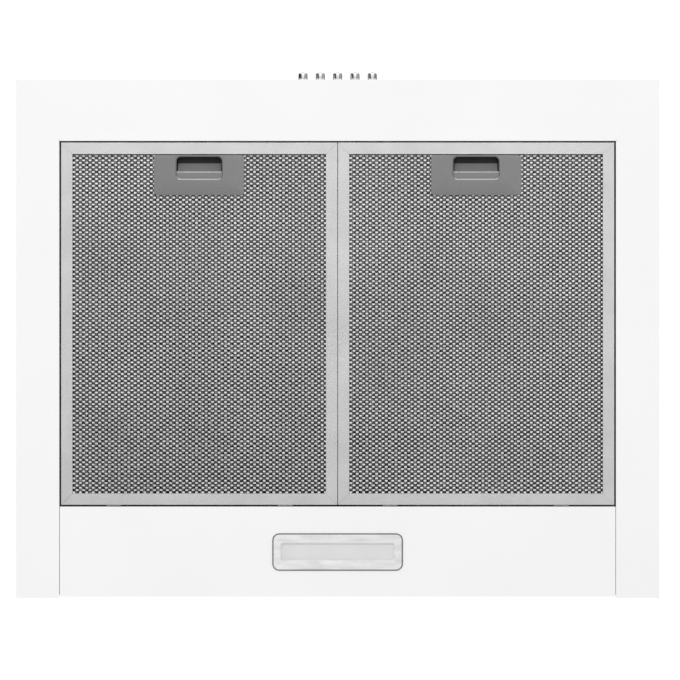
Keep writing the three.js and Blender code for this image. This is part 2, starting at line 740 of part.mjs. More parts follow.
function motorCableHole() {
  const run = new THREE.LineCurve3(atMotorAngle(70), atMotorAngle(130));
  return sweep(run, 3.6, 1, 10);
}

function atMotorAngle(radius) {
  return new THREE.Vector3(
    BLOWER.x + radius * Math.cos(MOTOR_CABLE_ANGLE),
    BLOWER.y + radius * Math.sin(MOTOR_CABLE_ANGLE),
    -28,
  );
}

function inletCover() {
  const span = [BLOWER.bottom - GAP - BLOWER.wall, BLOWER.bottom - GAP];
  const { x, y, inletRadius } = BLOWER;
  const plate = cut(blowerFootprint(BLOWER.wall, span), bar("z", [x, y], inletRadius, [span[0] - 1, 0], 16));
  const mouth = revolve(
    [
      [inletRadius - 0.5, span[0]],
      [inletRadius + 2, span[0]],
      [inletRadius + 2, span[1] + 3],
      [inletRadius - 0.5, span[1] + 3],
    ],
    x,
    y,
    32,
  );
  const rings = [18, 34, 49].map((radius) =>
    revolve(
      [
        [radius - 1, span[0]],
        [radius + 1, span[0]],
        [radius + 1, span[1]],
        [radius - 1, span[1]],
      ],
      x,
      y,
      24,
    ),
  );
  const spokes = [0, 60, 120, 180, 240, 300].map((degrees) => {
    const angle = THREE.MathUtils.degToRad(degrees);
    const spoke = new THREE.BoxGeometry(inletRadius - 17, 2.4, span[1] - span[0]);
    spoke.translate((inletRadius + 17) / 2, 0, (span[0] + span[1]) / 2);
    return solid(spoke.rotateZ(angle).translate(x, y, 0));
  });
  return join(plate, mouth, ...rings, ...spokes);
}

const MOTOR = { radius: 45, top: BLOWER.top - BLOWER.wall - GAP, bottom: -50, shaft: 3 };
const WHEEL = { top: -53, bottom: -96, blades: 32, blade: 12 };

function motorBody() {
  const { radius, top, bottom, shaft } = MOTOR;
  const body = revolve(
    [
      [0, top],
      [0, bottom],
      [shaft + 8, bottom],
      [shaft + 10, bottom + 3],
      [radius - 12, bottom + 4],
      [radius, bottom + 9],
      [radius, top - 9],
      [radius + 4, top - 4],
      [radius + 4, top],
    ].reverse(),
    BLOWER.x,
    BLOWER.y,
    32,
  );
  return cut(body, bar("z", [BLOWER.x, BLOWER.y], shaft + 0.4, [bottom - 1, bottom + 12], 6));
}

function impeller() {
  const { x, y, wheelRadius } = BLOWER;
  const disc = revolve(
    [
      [MOTOR.shaft + GAP, WHEEL.top],
      [MOTOR.shaft + GAP, WHEEL.top - 18],
      [10, WHEEL.top - 18],
      [12, WHEEL.top - 2],
      [wheelRadius, WHEEL.top - 2],
      [wheelRadius, WHEEL.top],
    ],
    x,
    y,
    32,
  );
  const ring = revolve(
    [
      [wheelRadius - WHEEL.blade, WHEEL.bottom],
      [wheelRadius + 1, WHEEL.bottom],
      [wheelRadius + 1, WHEEL.bottom + 2],
      [wheelRadius - WHEEL.blade, WHEEL.bottom + 2],
    ],
    x,
    y,
    32,
  );
  const blades = Array.from({ length: WHEEL.blades }, (_, i) => {
    const height = WHEEL.top - WHEEL.bottom - 2;
    const blade = new THREE.BoxGeometry(WHEEL.blade - 2, 1.4, height);
    blade.rotateZ(0.6).translate(wheelRadius - WHEEL.blade / 2, 0, WHEEL.bottom + 1 + height / 2);
    return solid(blade.rotateZ((2 * Math.PI * i) / WHEEL.blades).translate(x, y, 0));
  });
  return join(disc, ring, ...blades);
}

function impellerNut() {
  const top = WHEEL.top - 18 - GAP;
  return cut(
    bar("z", [BLOWER.x, BLOWER.y], 7, [top - 5, top], 3),
    bar("z", [BLOWER.x, BLOWER.y], MOTOR.shaft + GAP, [top - 6, top + 1], 6),
  );
}

addPiece("blower_housing", blowerHousing(), blackPlastic);
addPiece("blower_inlet_cover", inletCover(), blackPlastic);
addPiece("motor_body", motorBody(), steel);
addPiece("motor_shaft", bar("z", [BLOWER.x, BLOWER.y], MOTOR.shaft, [WHEEL.top - 26, MOTOR.bottom + 11], 6), steel);
addPiece("impeller", impeller(), blackPlastic);
addPiece("impeller_nut", impellerNut(), steel);

// ---------------------------------------------------------------- outlet collar and damper

const DAMPER = { pinZ: 2.3, pin: 1.5, knuckle: 3, seatZ: -2.6, plate: 1.2, radius: 56.8 };

function outletCollar() {
  const { x, y, outer, inner, flange, height } = COLLAR;
  const foot = BLOWER.top + GAP;
  const ring = revolve(
    [
      [inner, height],
      [inner, DAMPER.seatZ],
      [inner - 3, DAMPER.seatZ],
      [inner - 3, foot],
      [outer, foot],
      [outer, -NEST - 2],
      [flange, -NEST - 2],
      [flange, -NEST],
      [outer, -NEST],
      [outer, height - 2],
      [outer - 0.9, height],
    ],
    x,
    y,
  );
  const pinHoles = bar("x", [y, DAMPER.pinZ], DAMPER.pin + GAP, [x - outer + 0.6, x + outer - 0.6], 5);
  return cut(ring, pinHoles, collarScrew(-1, SCREW.clearance), collarScrew(1, SCREW.clearance));
}

// A half disc hung from the damper pin, on the front (-1) or rear (1) side of it.
function damperFlap(side, knuckles) {
  const { x, y } = COLLAR;
  const { pinZ, pin, knuckle, seatZ, plate, radius } = DAMPER;
  const low = seatZ + GAP;
  const arc = new THREE.Shape();
  arc.absarc(x, y, radius, side > 0 ? 0 : Math.PI, side > 0 ? Math.PI : 2 * Math.PI);
  const disc = prism("z", arc, [low, low + plate], 18);
  const middle = block([x - radius - 1, x + radius + 1], [y - GAP, y + GAP], [low - 1, low + plate + 1]);
  const barrels = knuckles.map(([from, to]) => {
    const web = [y + side * GAP, y + side * (knuckle - 0.5)].sort((a, b) => a - b);
    return join(
      bar("x", [y, pinZ], knuckle, [x + from, x + to], 6),
      block([x + from, x + to], web, [low + plate / 2, pinZ]),
    );
  });
  const bore = bar("x", [y, pinZ], pin + GAP, [x - radius, x + radius], 5);
  return cut(join(cut(disc, middle), ...barrels), bore);
}

addPiece("outlet_collar", outletCollar(), blackPlastic);
addPiece(
  "damper_pin",
  bar("x", [COLLAR.y, DAMPER.pinZ], DAMPER.pin, [COLLAR.x - COLLAR.outer + 1, COLLAR.x + COLLAR.outer - 1], 4),
  steel,
);
addPiece("damper_flap_front", damperFlap(-1, [[-40, -16], [16, 40]]), blackPlastic);
addPiece("damper_flap_rear", damperFlap(1, [[-54, -42], [-14, 14], [42, 54]]), blackPlastic);
addPiece("collar_screw_left", collarScrew(-1, 0), steel);
addPiece("collar_screw_right", collarScrew(1, 0), steel);

// ---------------------------------------------------------------- electrics

const JUNCTION = { x: [150, 240], y: [-86, -20], z: [-46, -SHEET - GAP], wall: 2 };

function junctionBox() {
  const { x, y, z, wall } = JUNCTION;
  const shrink = ([from, to]) => [from + wall, to - wall];
  return cut(
    block(x, y, z),
    block(shrink(x), shrink(y), [z[0] - 1, z[1] - wall]),
    bar("z", [GLAND.x, GLAND.y], GLAND.radius + 0.4, [z[1] - wall - 1, z[1] + 1], 8),
  );
}

function cableGland() {
  const { x, y, radius } = GLAND;
  const shoulder = JUNCTION.z[1] - JUNCTION.wall - GAP;
  return revolve(
    [
      [3.6, 11],
      [3.6, shoulder - 5],
      [radius + 4, shoulder - 5],
      [radius + 4, shoulder],
      [radius, shoulder],
      [radius, 8],
      [radius - 1, 11],
    ],
    x,
    y,
    16,
  );
}

const DRIVER = { x: [76, 138], y: [-62, -28], z: [-24, -SHEET - GAP] };

addPiece("junction_box", junctionBox(), greyPlastic);
addPiece(
  "junction_box_lid",
  block(JUNCTION.x, JUNCTION.y, [JUNCTION.z[0] - GAP - 2, JUNCTION.z[0] - GAP]),
  greyPlastic,
);
addPiece("motor_capacitor", bar("x", [-70, -26], 12, [156, 200], 8), whitePlastic);
addPiece("cable_gland", cableGland(), blackPlastic);
addPiece("led_driver", block(DRIVER.x, DRIVER.y, DRIVER.z), whitePlastic);

// Each cable starts and ends square to the face that it leaves, with a straight run there.
const CABLE_GAP = 0.5;
const lampEnd = LAMP_CUTOUT.width / 2;
const lampCable = [
  [lampEnd, LAMP.y, lampTopZ - 7],
  [lampEnd + 12, LAMP.y, lampTopZ - 7],
  [90, -44, -104],
  [106, -45, -66],
  [108, -45, DRIVER.z[0] - 14],
  [108, -45, DRIVER.z[0] - CABLE_GAP],
];
const motorCable = [
  [JUNCTION.x[0] - CABLE_GAP, -74, -28],
  [136, -74, -28],
  [106, -120, -28],
  [70, -220, -28],
  [20, -290, -28],
  [-26, -306, -28],
  atMotorAngle(134).toArray(),
  atMotorAngle(112).toArray(),
  atMotorAngle(80).toArray(),
  atMotorAngle(MOTOR.radius + 1).toArray(),
];
const switchCable = [
  [34, SWITCH.rear + CABLE_GAP, BAND_MIDDLE_Z],
  [34, SWITCH.rear + 14, BAND_MIDDLE_Z],
  [80, -400, -84],
  [170, -350, -50],
  [220, -280, -22],
  [216, -180, -18],
  [206, JUNCTION.y[0] - 16, -26],
  [206, JUNCTION.y[0] - CABLE_GAP, -26],
];
addPiece("lamp_cable", cable(lampCable, 2, 24), cableJacket);
addPiece("motor_cable", cable(motorCable, 3, 36), cableJacket);
addPiece("switch_cable", cable(switchCable, 3, 40), cableJacket);

export default hood;
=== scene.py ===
import json
import math
import random

import bmesh
import bpy
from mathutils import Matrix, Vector, noise


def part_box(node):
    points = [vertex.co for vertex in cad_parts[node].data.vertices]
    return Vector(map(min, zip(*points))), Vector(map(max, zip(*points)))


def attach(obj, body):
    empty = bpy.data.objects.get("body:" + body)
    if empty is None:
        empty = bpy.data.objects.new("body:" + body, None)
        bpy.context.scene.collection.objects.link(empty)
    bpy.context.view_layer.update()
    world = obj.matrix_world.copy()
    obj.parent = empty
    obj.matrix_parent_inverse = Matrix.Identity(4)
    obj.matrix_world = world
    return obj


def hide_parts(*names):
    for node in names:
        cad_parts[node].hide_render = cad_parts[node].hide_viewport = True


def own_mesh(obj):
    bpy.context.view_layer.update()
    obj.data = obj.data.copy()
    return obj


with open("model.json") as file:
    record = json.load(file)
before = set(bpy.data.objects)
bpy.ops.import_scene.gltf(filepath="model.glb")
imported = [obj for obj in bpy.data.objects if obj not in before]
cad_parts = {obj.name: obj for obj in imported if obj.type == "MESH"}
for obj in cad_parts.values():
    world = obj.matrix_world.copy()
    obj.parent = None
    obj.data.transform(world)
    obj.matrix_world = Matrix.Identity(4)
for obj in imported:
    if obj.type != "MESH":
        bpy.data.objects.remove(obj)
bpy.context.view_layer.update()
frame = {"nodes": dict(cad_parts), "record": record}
random.seed(4)

SLOT_OF = {part["node"]: part["material_slot"] for part in frame["record"]["subparts"]}
BODY_OF = {
    node: body
    for body, nodes in frame["record"]["behaviour"]["bodies"].items()
    for node in nodes
}
MM = 0.001  # every length below is in metres


# ---------------------------------------------------------------- materials

class Finish:
    """A Principled material that is built up one feature at a time, in object space."""

    def __init__(self, name, colour, roughness, metallic=0.0):
        self.material = bpy.data.materials.new(name)
        self.material.use_nodes = True
        self.tree = self.material.node_tree
        self.shader = self.tree.nodes["Principled BSDF"]
        self.place = self.tree.nodes.new("ShaderNodeTexCoord").outputs["Object"]
        self.normal = None
        self.set("Base Color", (*colour, 1))
        self.set("Roughness", roughness)
        self.set("Metallic", metallic)

    def set(self, socket, value):
        self.shader.inputs[socket].default_value = value

    def link(self, output, socket):
        self.tree.links.new(output, socket)

    def noise(self, size, detail=3.0, stretch=(1, 1, 1), place=None):
        """Noise whose features are about size metres across, drawn out along the stretched axes."""
        mapping = self.tree.nodes.new("ShaderNodeMapping")
        mapping.inputs["Scale"].default_value = [1 / (size * s) for s in stretch]
        self.link(place or self.place, mapping.inputs["Vector"])
        texture = self.tree.nodes.new("ShaderNodeTexNoise")
        texture.inputs["Scale"].default_value = 1.0
        texture.inputs["Detail"].default_value = detail
        self.link(mapping.outputs["Vector"], texture.inputs["Vector"])
        return texture.outputs["Fac"]

    def spread(self, value, low, high):
        """Maps the middle of a noise onto low to high."""
        node = self.tree.nodes.new("ShaderNodeMapRange")
        node.inputs["From Min"].default_value = 0.3
        node.inputs["From Max"].default_value = 0.7
        node.inputs["To Min"].default_value = low
        node.inputs["To Max"].default_value = high
        self.link(value, node.inputs["Value"])
        return node.outputs["Result"]

    def vary_roughness(self, value, low, high):
        self.link(self.spread(value, low, high), self.shader.inputs["Roughness"])

    def vary_colour(self, value, dark, light):
        node = self.tree.nodes.new("ShaderNodeMix")
        node.data_type = "RGBA"
        node.inputs["A"].default_value = (*dark, 1)
        node.inputs["B"].default_value = (*light, 1)
        self.link(self.spread(value, 0, 1), node.inputs["Factor"])
        self.link(node.outputs["Result"], self.shader.inputs["Base Color"])

    def multiply_colours(self, a, b):
        node = self.tree.nodes.new("ShaderNodeMix")
        node.data_type = "RGBA"
        node.blend_type = "MULTIPLY"
        node.inputs["Factor"].default_value = 1
        self.link(a, node.inputs["A"])
        self.link(b, node.inputs["B"])
        self.link(node.outputs["Result"], self.shader.inputs["Base Color"])

    def band(self, low_z, high_z, inside, outside):
        """One brightness of grey between two heights, and another above and below them."""
        parts = self.tree.nodes.new("ShaderNodeSeparateXYZ")
        self.link(self.place, parts.inputs["Vector"])
        height = self.tree.nodes.new("ShaderNodeMapRange")
        height.inputs["From Min"].default_value = low_z
        height.inputs["From Max"].default_value = high_z
        self.link(parts.outputs["Z"], height.inputs["Value"])
        node = self.tree.nodes.new("ShaderNodeValToRGB")
        node.color_ramp.interpolation = "CONSTANT"
        stops = node.color_ramp.elements
        for stop in stops:
            stop.color = (*grey(outside), 1)
        step = 0.02  # the ramp's own ends lie beyond the band
        stops.new(step).color = (*grey(inside), 1)
        stops[-1].position = 1 - step
        self.link(height.outputs["Result"], node.inputs["Fac"])
        return node.outputs["Color"]

    def bump(self, value, height):
        """Raises the surface by up to height metres. Several bumps add up."""
        node = self.tree.nodes.new("ShaderNodeBump")
        node.inputs["Distance"].default_value = height
        self.link(value, node.inputs["Height"])
        if self.normal:
            self.link(self.normal, node.inputs["Normal"])
        self.normal = node.outputs["Normal"]
        self.link(self.normal, self.shader.inputs["Normal"])


def grey(value, tint=(1, 1, 1)):
    """A colour of one brightness, or nearly so where the tint has a cast."""
    return tuple(value * t for t in tint)


def painted_steel():
    """White powder coat: a slight orange peel and a little unevenness in its gloss."""
    finish = Finish("white_powder_coat", grey(0.9), 0.4)
    finish.vary_colour(finish.noise(0.12), grey(0.89), grey(0.91, (1, 1, 0.997)))
    finish.vary_roughness(finish.noise(0.03), 0.34, 0.46)
    finish.bump(finish.noise(1.3 * MM, 2), 0.012 * MM)
    finish.bump(finish.noise(0.35 * MM, 1), 0.003 * MM)
    finish.set("Coat Weight", 0.15)
    finish.set("Coat Roughness", 0.2)
    return finish.material


def satin_aluminium():
    """Anodised aluminium section with faint lines along its length, which its UV map follows."""
    finish = Finish("satin_aluminium", grey(0.72), 0.36, 1.0)
    along = finish.tree.nodes.new("ShaderNodeTexCoord").outputs["UV"]
    lines = finish.noise(0.25 * MM, 2, (160, 1, 1), along)
    finish.vary_colour(finish.noise(0.03), grey(0.68, (1, 1, 1.01)), grey(0.76))
    finish.vary_roughness(lines, 0.3, 0.42)
    finish.bump(lines, 0.004 * MM)
    return finish.material


def aluminium_mesh():
    """Bright slit aluminium strands in the outer layers; the core strands between them are the same
    metal, darkened as painted shade.
    """
    finish = Finish("expanded_aluminium", grey(0.92), 0.25, 1.0)
    core_low, core_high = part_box("left_filter_core")
    margin = 0.4 * MM
    # Painted shade: the core's strands are coloured darker because they lie deep between the outer
    # sheets.
    painted_core_shade = finish.band(core_low.z - margin, core_high.z + margin, 0.27, 0.92)
    finish.multiply_colours(painted_core_shade, finish.spread(finish.noise(0.04), 0.92, 1))
    finish.vary_roughness(finish.noise(1.5 * MM), 0.2, 0.34)
    finish.bump(finish.noise(0.5 * MM, 2), 0.008 * MM)
    return finish.material


def chrome():
    finish = Finish("polished_chrome", grey(0.88), 0.06, 1.0)
    finish.vary_roughness(finish.noise(2 * MM, 4), 0.04, 0.1)
    finish.bump(finish.noise(3 * MM, 2), 0.001 * MM)
    return finish.material


def zinc_steel():
    """Zinc-plated steel, its crystals showing as soft patches of tone."""
    finish = Finish("zinc_plated_steel", grey(0.5), 0.38, 1.0)
    finish.vary_colour(finish.noise(5 * MM, 1), grey(0.42, (0.98, 1, 1.03)), grey(0.58))
    finish.vary_roughness(finish.noise(3 * MM), 0.28, 0.5)
    finish.bump(finish.noise(0.4 * MM, 3), 0.006 * MM)
    return finish.material


def moulded(name, dark, light, roughness, grain, depth, clouds=(0.02,)):
    """Moulded plastic with a fine spark-eroded grain. clouds is the noise that its tone follows."""
    finish = Finish(name, light, roughness)
    finish.vary_colour(finish.noise(*clouds), dark, light)
    finish.vary_roughness(finish.noise(4 * MM), roughness - 0.06, roughness + 0.08)
    finish.bump(finish.noise(grain, 2), depth)
    return finish


def grey_plastic():
    """Its satin top layer picks up a line of light along every rolled edge."""
    finish = moulded("grey_plastic", grey(0.115), grey(0.125), 0.48, 0.3 * MM, 0.012 * MM)
    finish.set("Coat Weight", 1)
    finish.set("Coat IOR", 2)
    finish.set("Coat Roughness", 0.16)
    return finish.material


def recess_shade_plastic():
    """The same grey plastic with its shine taken off and a little paler, so that the recessed
    finger ramp renders darker: painted shade for its recess.
    """
    finish = moulded("recess_shade_grey_plastic", grey(0.155), grey(0.17), 0.7, 0.3 * MM, 0.02 * MM)
    finish.set("Specular IOR Level", 0.2)
    return finish.material


def black_plastic():
    finish = moulded("black_plastic", grey(0.014), grey(0.022), 0.5, 0.35 * MM, 0.015 * MM)
    finish.set("Specular IOR Level", 0.25)
    return finish.material


def white_plastic():
    """A pale moulding, with cloudy streaks that follow its length."""
    streaks = (5 * MM, 5, (5, 1, 1))
    finish = moulded("pearl_plastic", grey(0.65), grey(0.84), 0.3, 0.3 * MM, 0.006 * MM, streaks)
    return finish.material


def frosted_plastic():
    return moulded("frosted_diffuser", grey(0.7), grey(0.73), 0.55, 0.25 * MM, 0.02 * MM).material


def circuit_board():
    mask = grey(0.72, (0.97, 1, 0.97))
    return moulded("circuit_board", grey(0.6), mask, 0.4, 0.5 * MM, 0.01 * MM).material


def cable_jacket():
    return moulded("cable_jacket", grey(0.3), grey(0.36), 0.55, 0.4 * MM, 0.01 * MM).material


MATERIALS = {
    "painted_steel": painted_steel(),
    "aluminium": satin_aluminium(),
    "aluminium_mesh": aluminium_mesh(),
    "chrome": chrome(),
    "zinc_steel": zinc_steel(),
    "grey_plastic": grey_plastic(),
    "recess_shade_plastic": recess_shade_plastic(),
    "black_plastic": black_plastic(),
    "white_plastic": white_plastic(),
    "frosted_plastic": frosted_plastic(),
    "circuit_board": circuit_board(),
    "cable_jacket": cable_jacket(),
}


# ---------------------------------------------------------------- making pieces

SAME_POINT = 1e-7
SAME_CAD_POINT = 2e-6
FLAT = math.radians(0.5)  # faces that turn by less than this belong to one flat


def add_mesh(name, vertices, faces, smooth_below=35):
    """A new object with the vertices and faces of two lists."""
    mesh = bpy.data.meshes.new(name)
    mesh.from_pydata(vertices, [], faces)
    mesh.validate()
    piece = bpy.data.objects.new(name, mesh)
    bpy.context.scene.collection.objects.link(piece)
    shade(mesh, smooth_below)
    return piece


def shade(mesh, smooth_below):
    """Shades everything smooth, except across edges that turn by smooth_below degrees or more."""
    mesh.polygons.foreach_set("use_smooth", [True] * len(mesh.polygons))
    mesh.set_sharp_from_angle(angle=math.radians(smooth_below))


def weld(piece, smooth_below=35):
    """Merges the points that meet, turns every face outwards and shades the piece again."""
    build = bmesh.new()
    build.from_mesh(piece.data)
    bmesh.ops.remove_doubles(build, verts=build.verts, dist=SAME_POINT)
    bmesh.ops.dissolve_degenerate(build, edges=build.edges, dist=SAME_POINT)
    bmesh.ops.recalc_face_normals(build, faces=build.faces)
    build.to_mesh(piece.data)
    build.free()
    shade(piece.data, smooth_below)
    return piece


def paint(piece, finish):
    piece.data.materials.clear()
    piece.data.materials.append(MATERIALS[finish])


def fit(piece, body, slot):
    """Gives a piece its body, and the material slot and finish of one name."""
    paint(piece, slot)
    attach(piece, body)


def install(piece, node):
    """Puts a piece in the place of a CAD node."""
    fit(piece, BODY_OF[node], SLOT_OF[node])
    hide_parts(node)


def plan(node):
    """The (x, y) centre and size of a CAD node's box."""
    low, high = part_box(node)
    return ((low.x + high.x) / 2, (low.y + high.y) / 2), (high.x - low.x, high.y - low.y)


def bevel(piece, width, segments=2, angle=35):
    """Rounds the edges that turn by more than angle degrees."""
    modifier = piece.modifiers.new("rounded_edges", "BEVEL")
    modifier.width = width
    modifier.segments = segments
    modifier.limit_method = "ANGLE"
    modifier.angle_limit = math.radians(angle)
    modifier.miter_outer = "MITER_ARC"
    piece.modifiers.new("even_shading", "WEIGHTED_NORMAL").keep_sharp = True


def rounded_copy(node, width):
    """A piece with the CAD node's shape, whose edges are rounded by width metres."""
    build = bmesh.new()
    build.from_mesh(frame["nodes"][node].data)
    bmesh.ops.remove_doubles(build, verts=build.verts, dist=SAME_CAD_POINT)
    bmesh.ops.dissolve_limit(build, angle_limit=FLAT, verts=build.verts, edges=build.edges)
    mesh = bpy.data.meshes.new(f"{node}_finish")
    build.to_mesh(mesh)
    build.free()
    piece = bpy.data.objects.new(f"{node}_finish", mesh)
    bpy.context.scene.collection.objects.link(piece)
    shade(mesh, 35)
    bevel(piece, width)
    install(piece, node)


# ---------------------------------------------------------------- expanded metal

SHEET = {"cell": (6.0 * MM, 4.32 * MM), "strand": (0.75 * MM, 0.22 * MM), "tilt": 62}
CORE = {"cell": (9.0 * MM, 6.4 * MM), "strand": (2.8 * MM, 0.3 * MM), "tilt": 38}
BOND = 1.15 * MM  # half the length of a bond, where two strands lie flat side by side
TURNED_EDGE = 6 * MM
TURNED_UP = 45  # degrees, at the very edge
TWIST_DRIFT = 3  # degrees, both from patch to patch and from strand to strand
LOOSENESS = 0.04 * MM
PATCHES = (14, 14, 900)  # how many patches of twist fit into a metre along each axis


def runs(indices):
    """Splits rising indices into their unbroken runs."""
    found = []
    for i in indices:
        if found and found[-1][-1] == i - 1:
            found[-1].append(i)
        else:
            found.append([i])
    return [run for run in found if len(run) > 1]


def stations(low_x, high_x, half_cell):
    """Where a strand bends, as (x, swing, twist): both ends of a bond, then halfway to the next."""
    found = []
    for bond in range(round((high_x - low_x) / half_cell)):
        x = low_x + bond * half_cell
        swing = -1 if bond % 2 else 1
        found += [(x, swing, 0), (x + 2 * BOND, swing, 0), (x + BOND + half_cell / 2, 0, 1)]
    return found


def expanded_metal(name, area, rows, level, facing, notch, form, turned_edge=0):
    """Rows of zigzag strands that lie flat at their bonds and twist like a louvre between them.

    area is the whole sheet's (low, high) corners in (x, y) and rows are the ones to make. level is
    the sheet's height and facing is -1 for a sheet seen from below. notch is the (low, high) of a
    rectangle that is left out. The rows within turned_edge of the front turn up into its rail.
    """
    low, high = area
    width, thickness = form["strand"]
    pitch = form["cell"][1] / 2
    reach = (pitch - width) / 2
    bends = stations(low[0], high[0], form["cell"][0] / 2)
    vertices, faces = [], []
    for row in rows:
        y = low[1] + (row + 0.5) * pitch
        side = 1 if row % 2 else -1
        crosses = notch[0][1] < y < notch[1][1]
        turned_up = TURNED_UP * max(0, 1 - (y - low[1]) / turned_edge) if turned_edge else 0
        outside = [
            i
            for i, bend in enumerate(bends)
            if not (crosses and notch[0][0] < bend[0] < notch[1][0])
        ]
        for run in runs(outside):
            first = len(vertices)
            for i in run:
                x, swing, twist = bends[i]
                centre_y = y + side * swing * reach
                place = [at * each for at, each in zip((x, y, level), PATCHES)]
                drift = TWIST_DRIFT * noise.noise(Vector(place))
                drift += random.uniform(-TWIST_DRIFT, TWIST_DRIFT)
                turn = math.radians(drift - form["tilt"] * twist - turned_up)
                lift = level + random.uniform(-LOOSENESS, LOOSENESS)
                along = (width / 2 * math.cos(turn), facing * width / 2 * math.sin(turn))
                out = (-thickness / 2 * math.sin(turn), facing * thickness / 2 * math.cos(turn))
                for a, b in ((-1, -1), (1, -1), (1, 1), (-1, 1)):
                    corner_y = centre_y + a * along[0] + b * out[0]
                    vertices.append((x, corner_y, lift + a * along[1] + b * out[1]))
            faces += tube_faces(first, len(run), 4, flip=facing < 0)
    return add_mesh(name, vertices, faces, 20)


def tube_faces(first, rings, sides, flip=False):
    """Faces of a tube of rings whose vertices start at first, with a cap at each end."""
    faces = []
    for r in range(rings - 1):
        for s in range(sides):
            a = first + r * sides + s
            b = first + r * sides + (s + 1) % sides
            faces.append((a, b, b + sides, a + sides))
    faces.append(tuple(first + s for s in reversed(range(sides))))
    faces.append(tuple(first + (rings - 1) * sides + s for s in range(sides)))
    return [face[::-1] for face in faces] if flip else faces


# ---------------------------------------------------------------- turned pieces

def lathe(name, profile, centre, axis, segments, smooth_below):
    """Turns a closed (radius, height) profile round an axis, y or z, through centre."""
    count = len(profile)
    vertices = []
    for s in range(segments):
        angle = 2 * math.pi * s / segments
        for radius, height in profile:
            u, v = radius * math.cos(angle), radius * math.sin(angle)
            turned = (v, height, u) if axis == "y" else (u, v, height)
            vertices.append(tuple(c + t for c, t in zip(centre, turned)))
    faces = []
    for s in range(segments):
        for p in range(count):
            q = (p + 1) % count
            here, there = s * count, (s + 1) % segments * count
            faces.append((here + p, there + p, there + q, here + q))
    return weld(add_mesh(name, vertices, faces), smooth_below)


def arc(cx, cy, radius, start, end, steps=5):
    """Points on an arc, with its angles in degrees."""
    angles = [math.radians(start + (end - start) * i / steps) for i in range(steps + 1)]
    return [(cx + radius * math.cos(a), cy + radius * math.sin(a)) for a in angles]


# ---------------------------------------------------------------- outlines and sections

CORNER_STEPS = 6
ROLL_STEPS = 4


def rounded_rectangle(centre, size, radius, z):
    """A closed loop of points at one height, its corners in order from the front right."""
    x, y = centre
    half_x, half_y = size[0] / 2 - radius, size[1] / 2 - radius
    corners = [
        (half_x, -half_y, -90),
        (half_x, half_y, 0),
        (-half_x, half_y, 90),
        (-half_x, -half_y, 180),
    ]
    return [
        (u, v, z)
        for dx, dy, start in corners
        for u, v in arc(x + dx, y + dy, radius, start, start + 90, CORNER_STEPS)
    ]


def grown(centre, size, radius, growth, z):
    """The rounded rectangle with its edge moved outwards by growth."""
    larger = (size[0] + 2 * growth, size[1] + 2 * growth)
    return rounded_rectangle(centre, larger, radius + growth, z)


def shell_of_loops(name, loops, smooth_below=35, ring=True):
    """Joins loops of as many points each, in a closed ring or else with a flat end on each side."""
    count = len(loops[0])
    vertices = [point for loop in loops for point in loop]
    faces = []
    if not ring:
        faces = [tuple(range(count)), tuple(range(len(vertices) - count, len(vertices)))]
    for i in range(len(loops) if ring else len(loops) - 1):
        here, there = i * count, (i + 1) % len(loops) * count
        for k in range(count):
            n = (k + 1) % count
            faces.append((here + k, here + n, there + n, there + k))
    return weld(add_mesh(name, vertices, faces), smooth_below)


def extrusion(name, outline, low_x, high_x):
    """A (y, z) outline drawn out along x."""
    count = len(outline)
    vertices = [(x, y, z) for x in (low_x, high_x) for y, z in outline]
    faces = [(i, (i + 1) % count, (i + 1) % count + count, i + count) for i in range(count)]
    faces += [tuple(range(count)), tuple(range(count, 2 * count))]
    return weld(add_mesh(name, vertices, faces))


def cut(piece, low, high):
    """Takes the box between two corners out of a piece."""
    outline = [(low[1], low[2]), (high[1], low[2]), (high[1], high[2]), (low[1], high[2])]
    tool = extrusion("cutter", outline, low[0], high[0])
    modifier = piece.modifiers.new("cut", "BOOLEAN")
    modifier.object = tool
    shape = piece.evaluated_get(bpy.context.evaluated_depsgraph_get())
    mesh = bpy.data.meshes.new_from_object(shape)
    piece.modifiers.clear()
    piece.data = mesh
    bpy.data.objects.remove(tool)


# ---------------------------------------------------------------- grease filters

RAIL = {
    "width": 10.8 * MM,
    "wall": 1.2 * MM,
    "skin": 0.9 * MM,
    "fold": 0.35 * MM,
    "crease": 0.4 * MM,
    "edge": 0.15 * MM,
}
MITRE_GAP = 0.02 * MM
FILTER_GAP = 1.5 * MM  # from a frame to the opening's wall
SEAM_CLOSING = 0.18 * MM  # how far each frame's rolled edge swells towards the other

# The heights of the tabs and the tongue are above the rails' lower face.
TAB = {
    "offset": 80 * MM,
    "half": 7 * MM,
    "low": 5.6 * MM,
    "high": 6.8 * MM,
    "round": 2.5 * MM,
    "reach": 8.5 * MM,
}
TONGUE = {
    "half": 7 * MM,
    "low": 3.4 * MM,
    "high": 5.6 * MM,
    "nose_rise": 0.8 * MM,
    "nose_run": 1.5 * MM,
}
TONGUE_SLOT = {"clear": 1 * MM, "above": 0.6 * MM, "past_wall": 0.5 * MM}
MESH_INSET = (7.8 * MM, 6.3 * MM)  # from a frame's side and a sheet's front to the first strands
NOTCH_GAP = (0.4 * MM, 0.8 * MM)  # from the handle's side and rear to the nearest strands


def rail_section(height):
    """A rail's closed C section, as (distance from its outer face, height above its lower one)."""
    width, wall, skin, fold, crease, edge = RAIL.values()
    return [
        (width, edge),
        (width - edge, 0),
        *arc(fold, fold, fold, 270, 180),
        *arc(fold, height - fold, fold, 180, 90),
        (width, height),
        (width, height - skin),
        *arc(wall + crease, height - skin - crease, crease, 90, 180, 3),
        *arc(wall + crease, skin + crease, crease, 180, 270, 3),
        (width, skin),
    ]


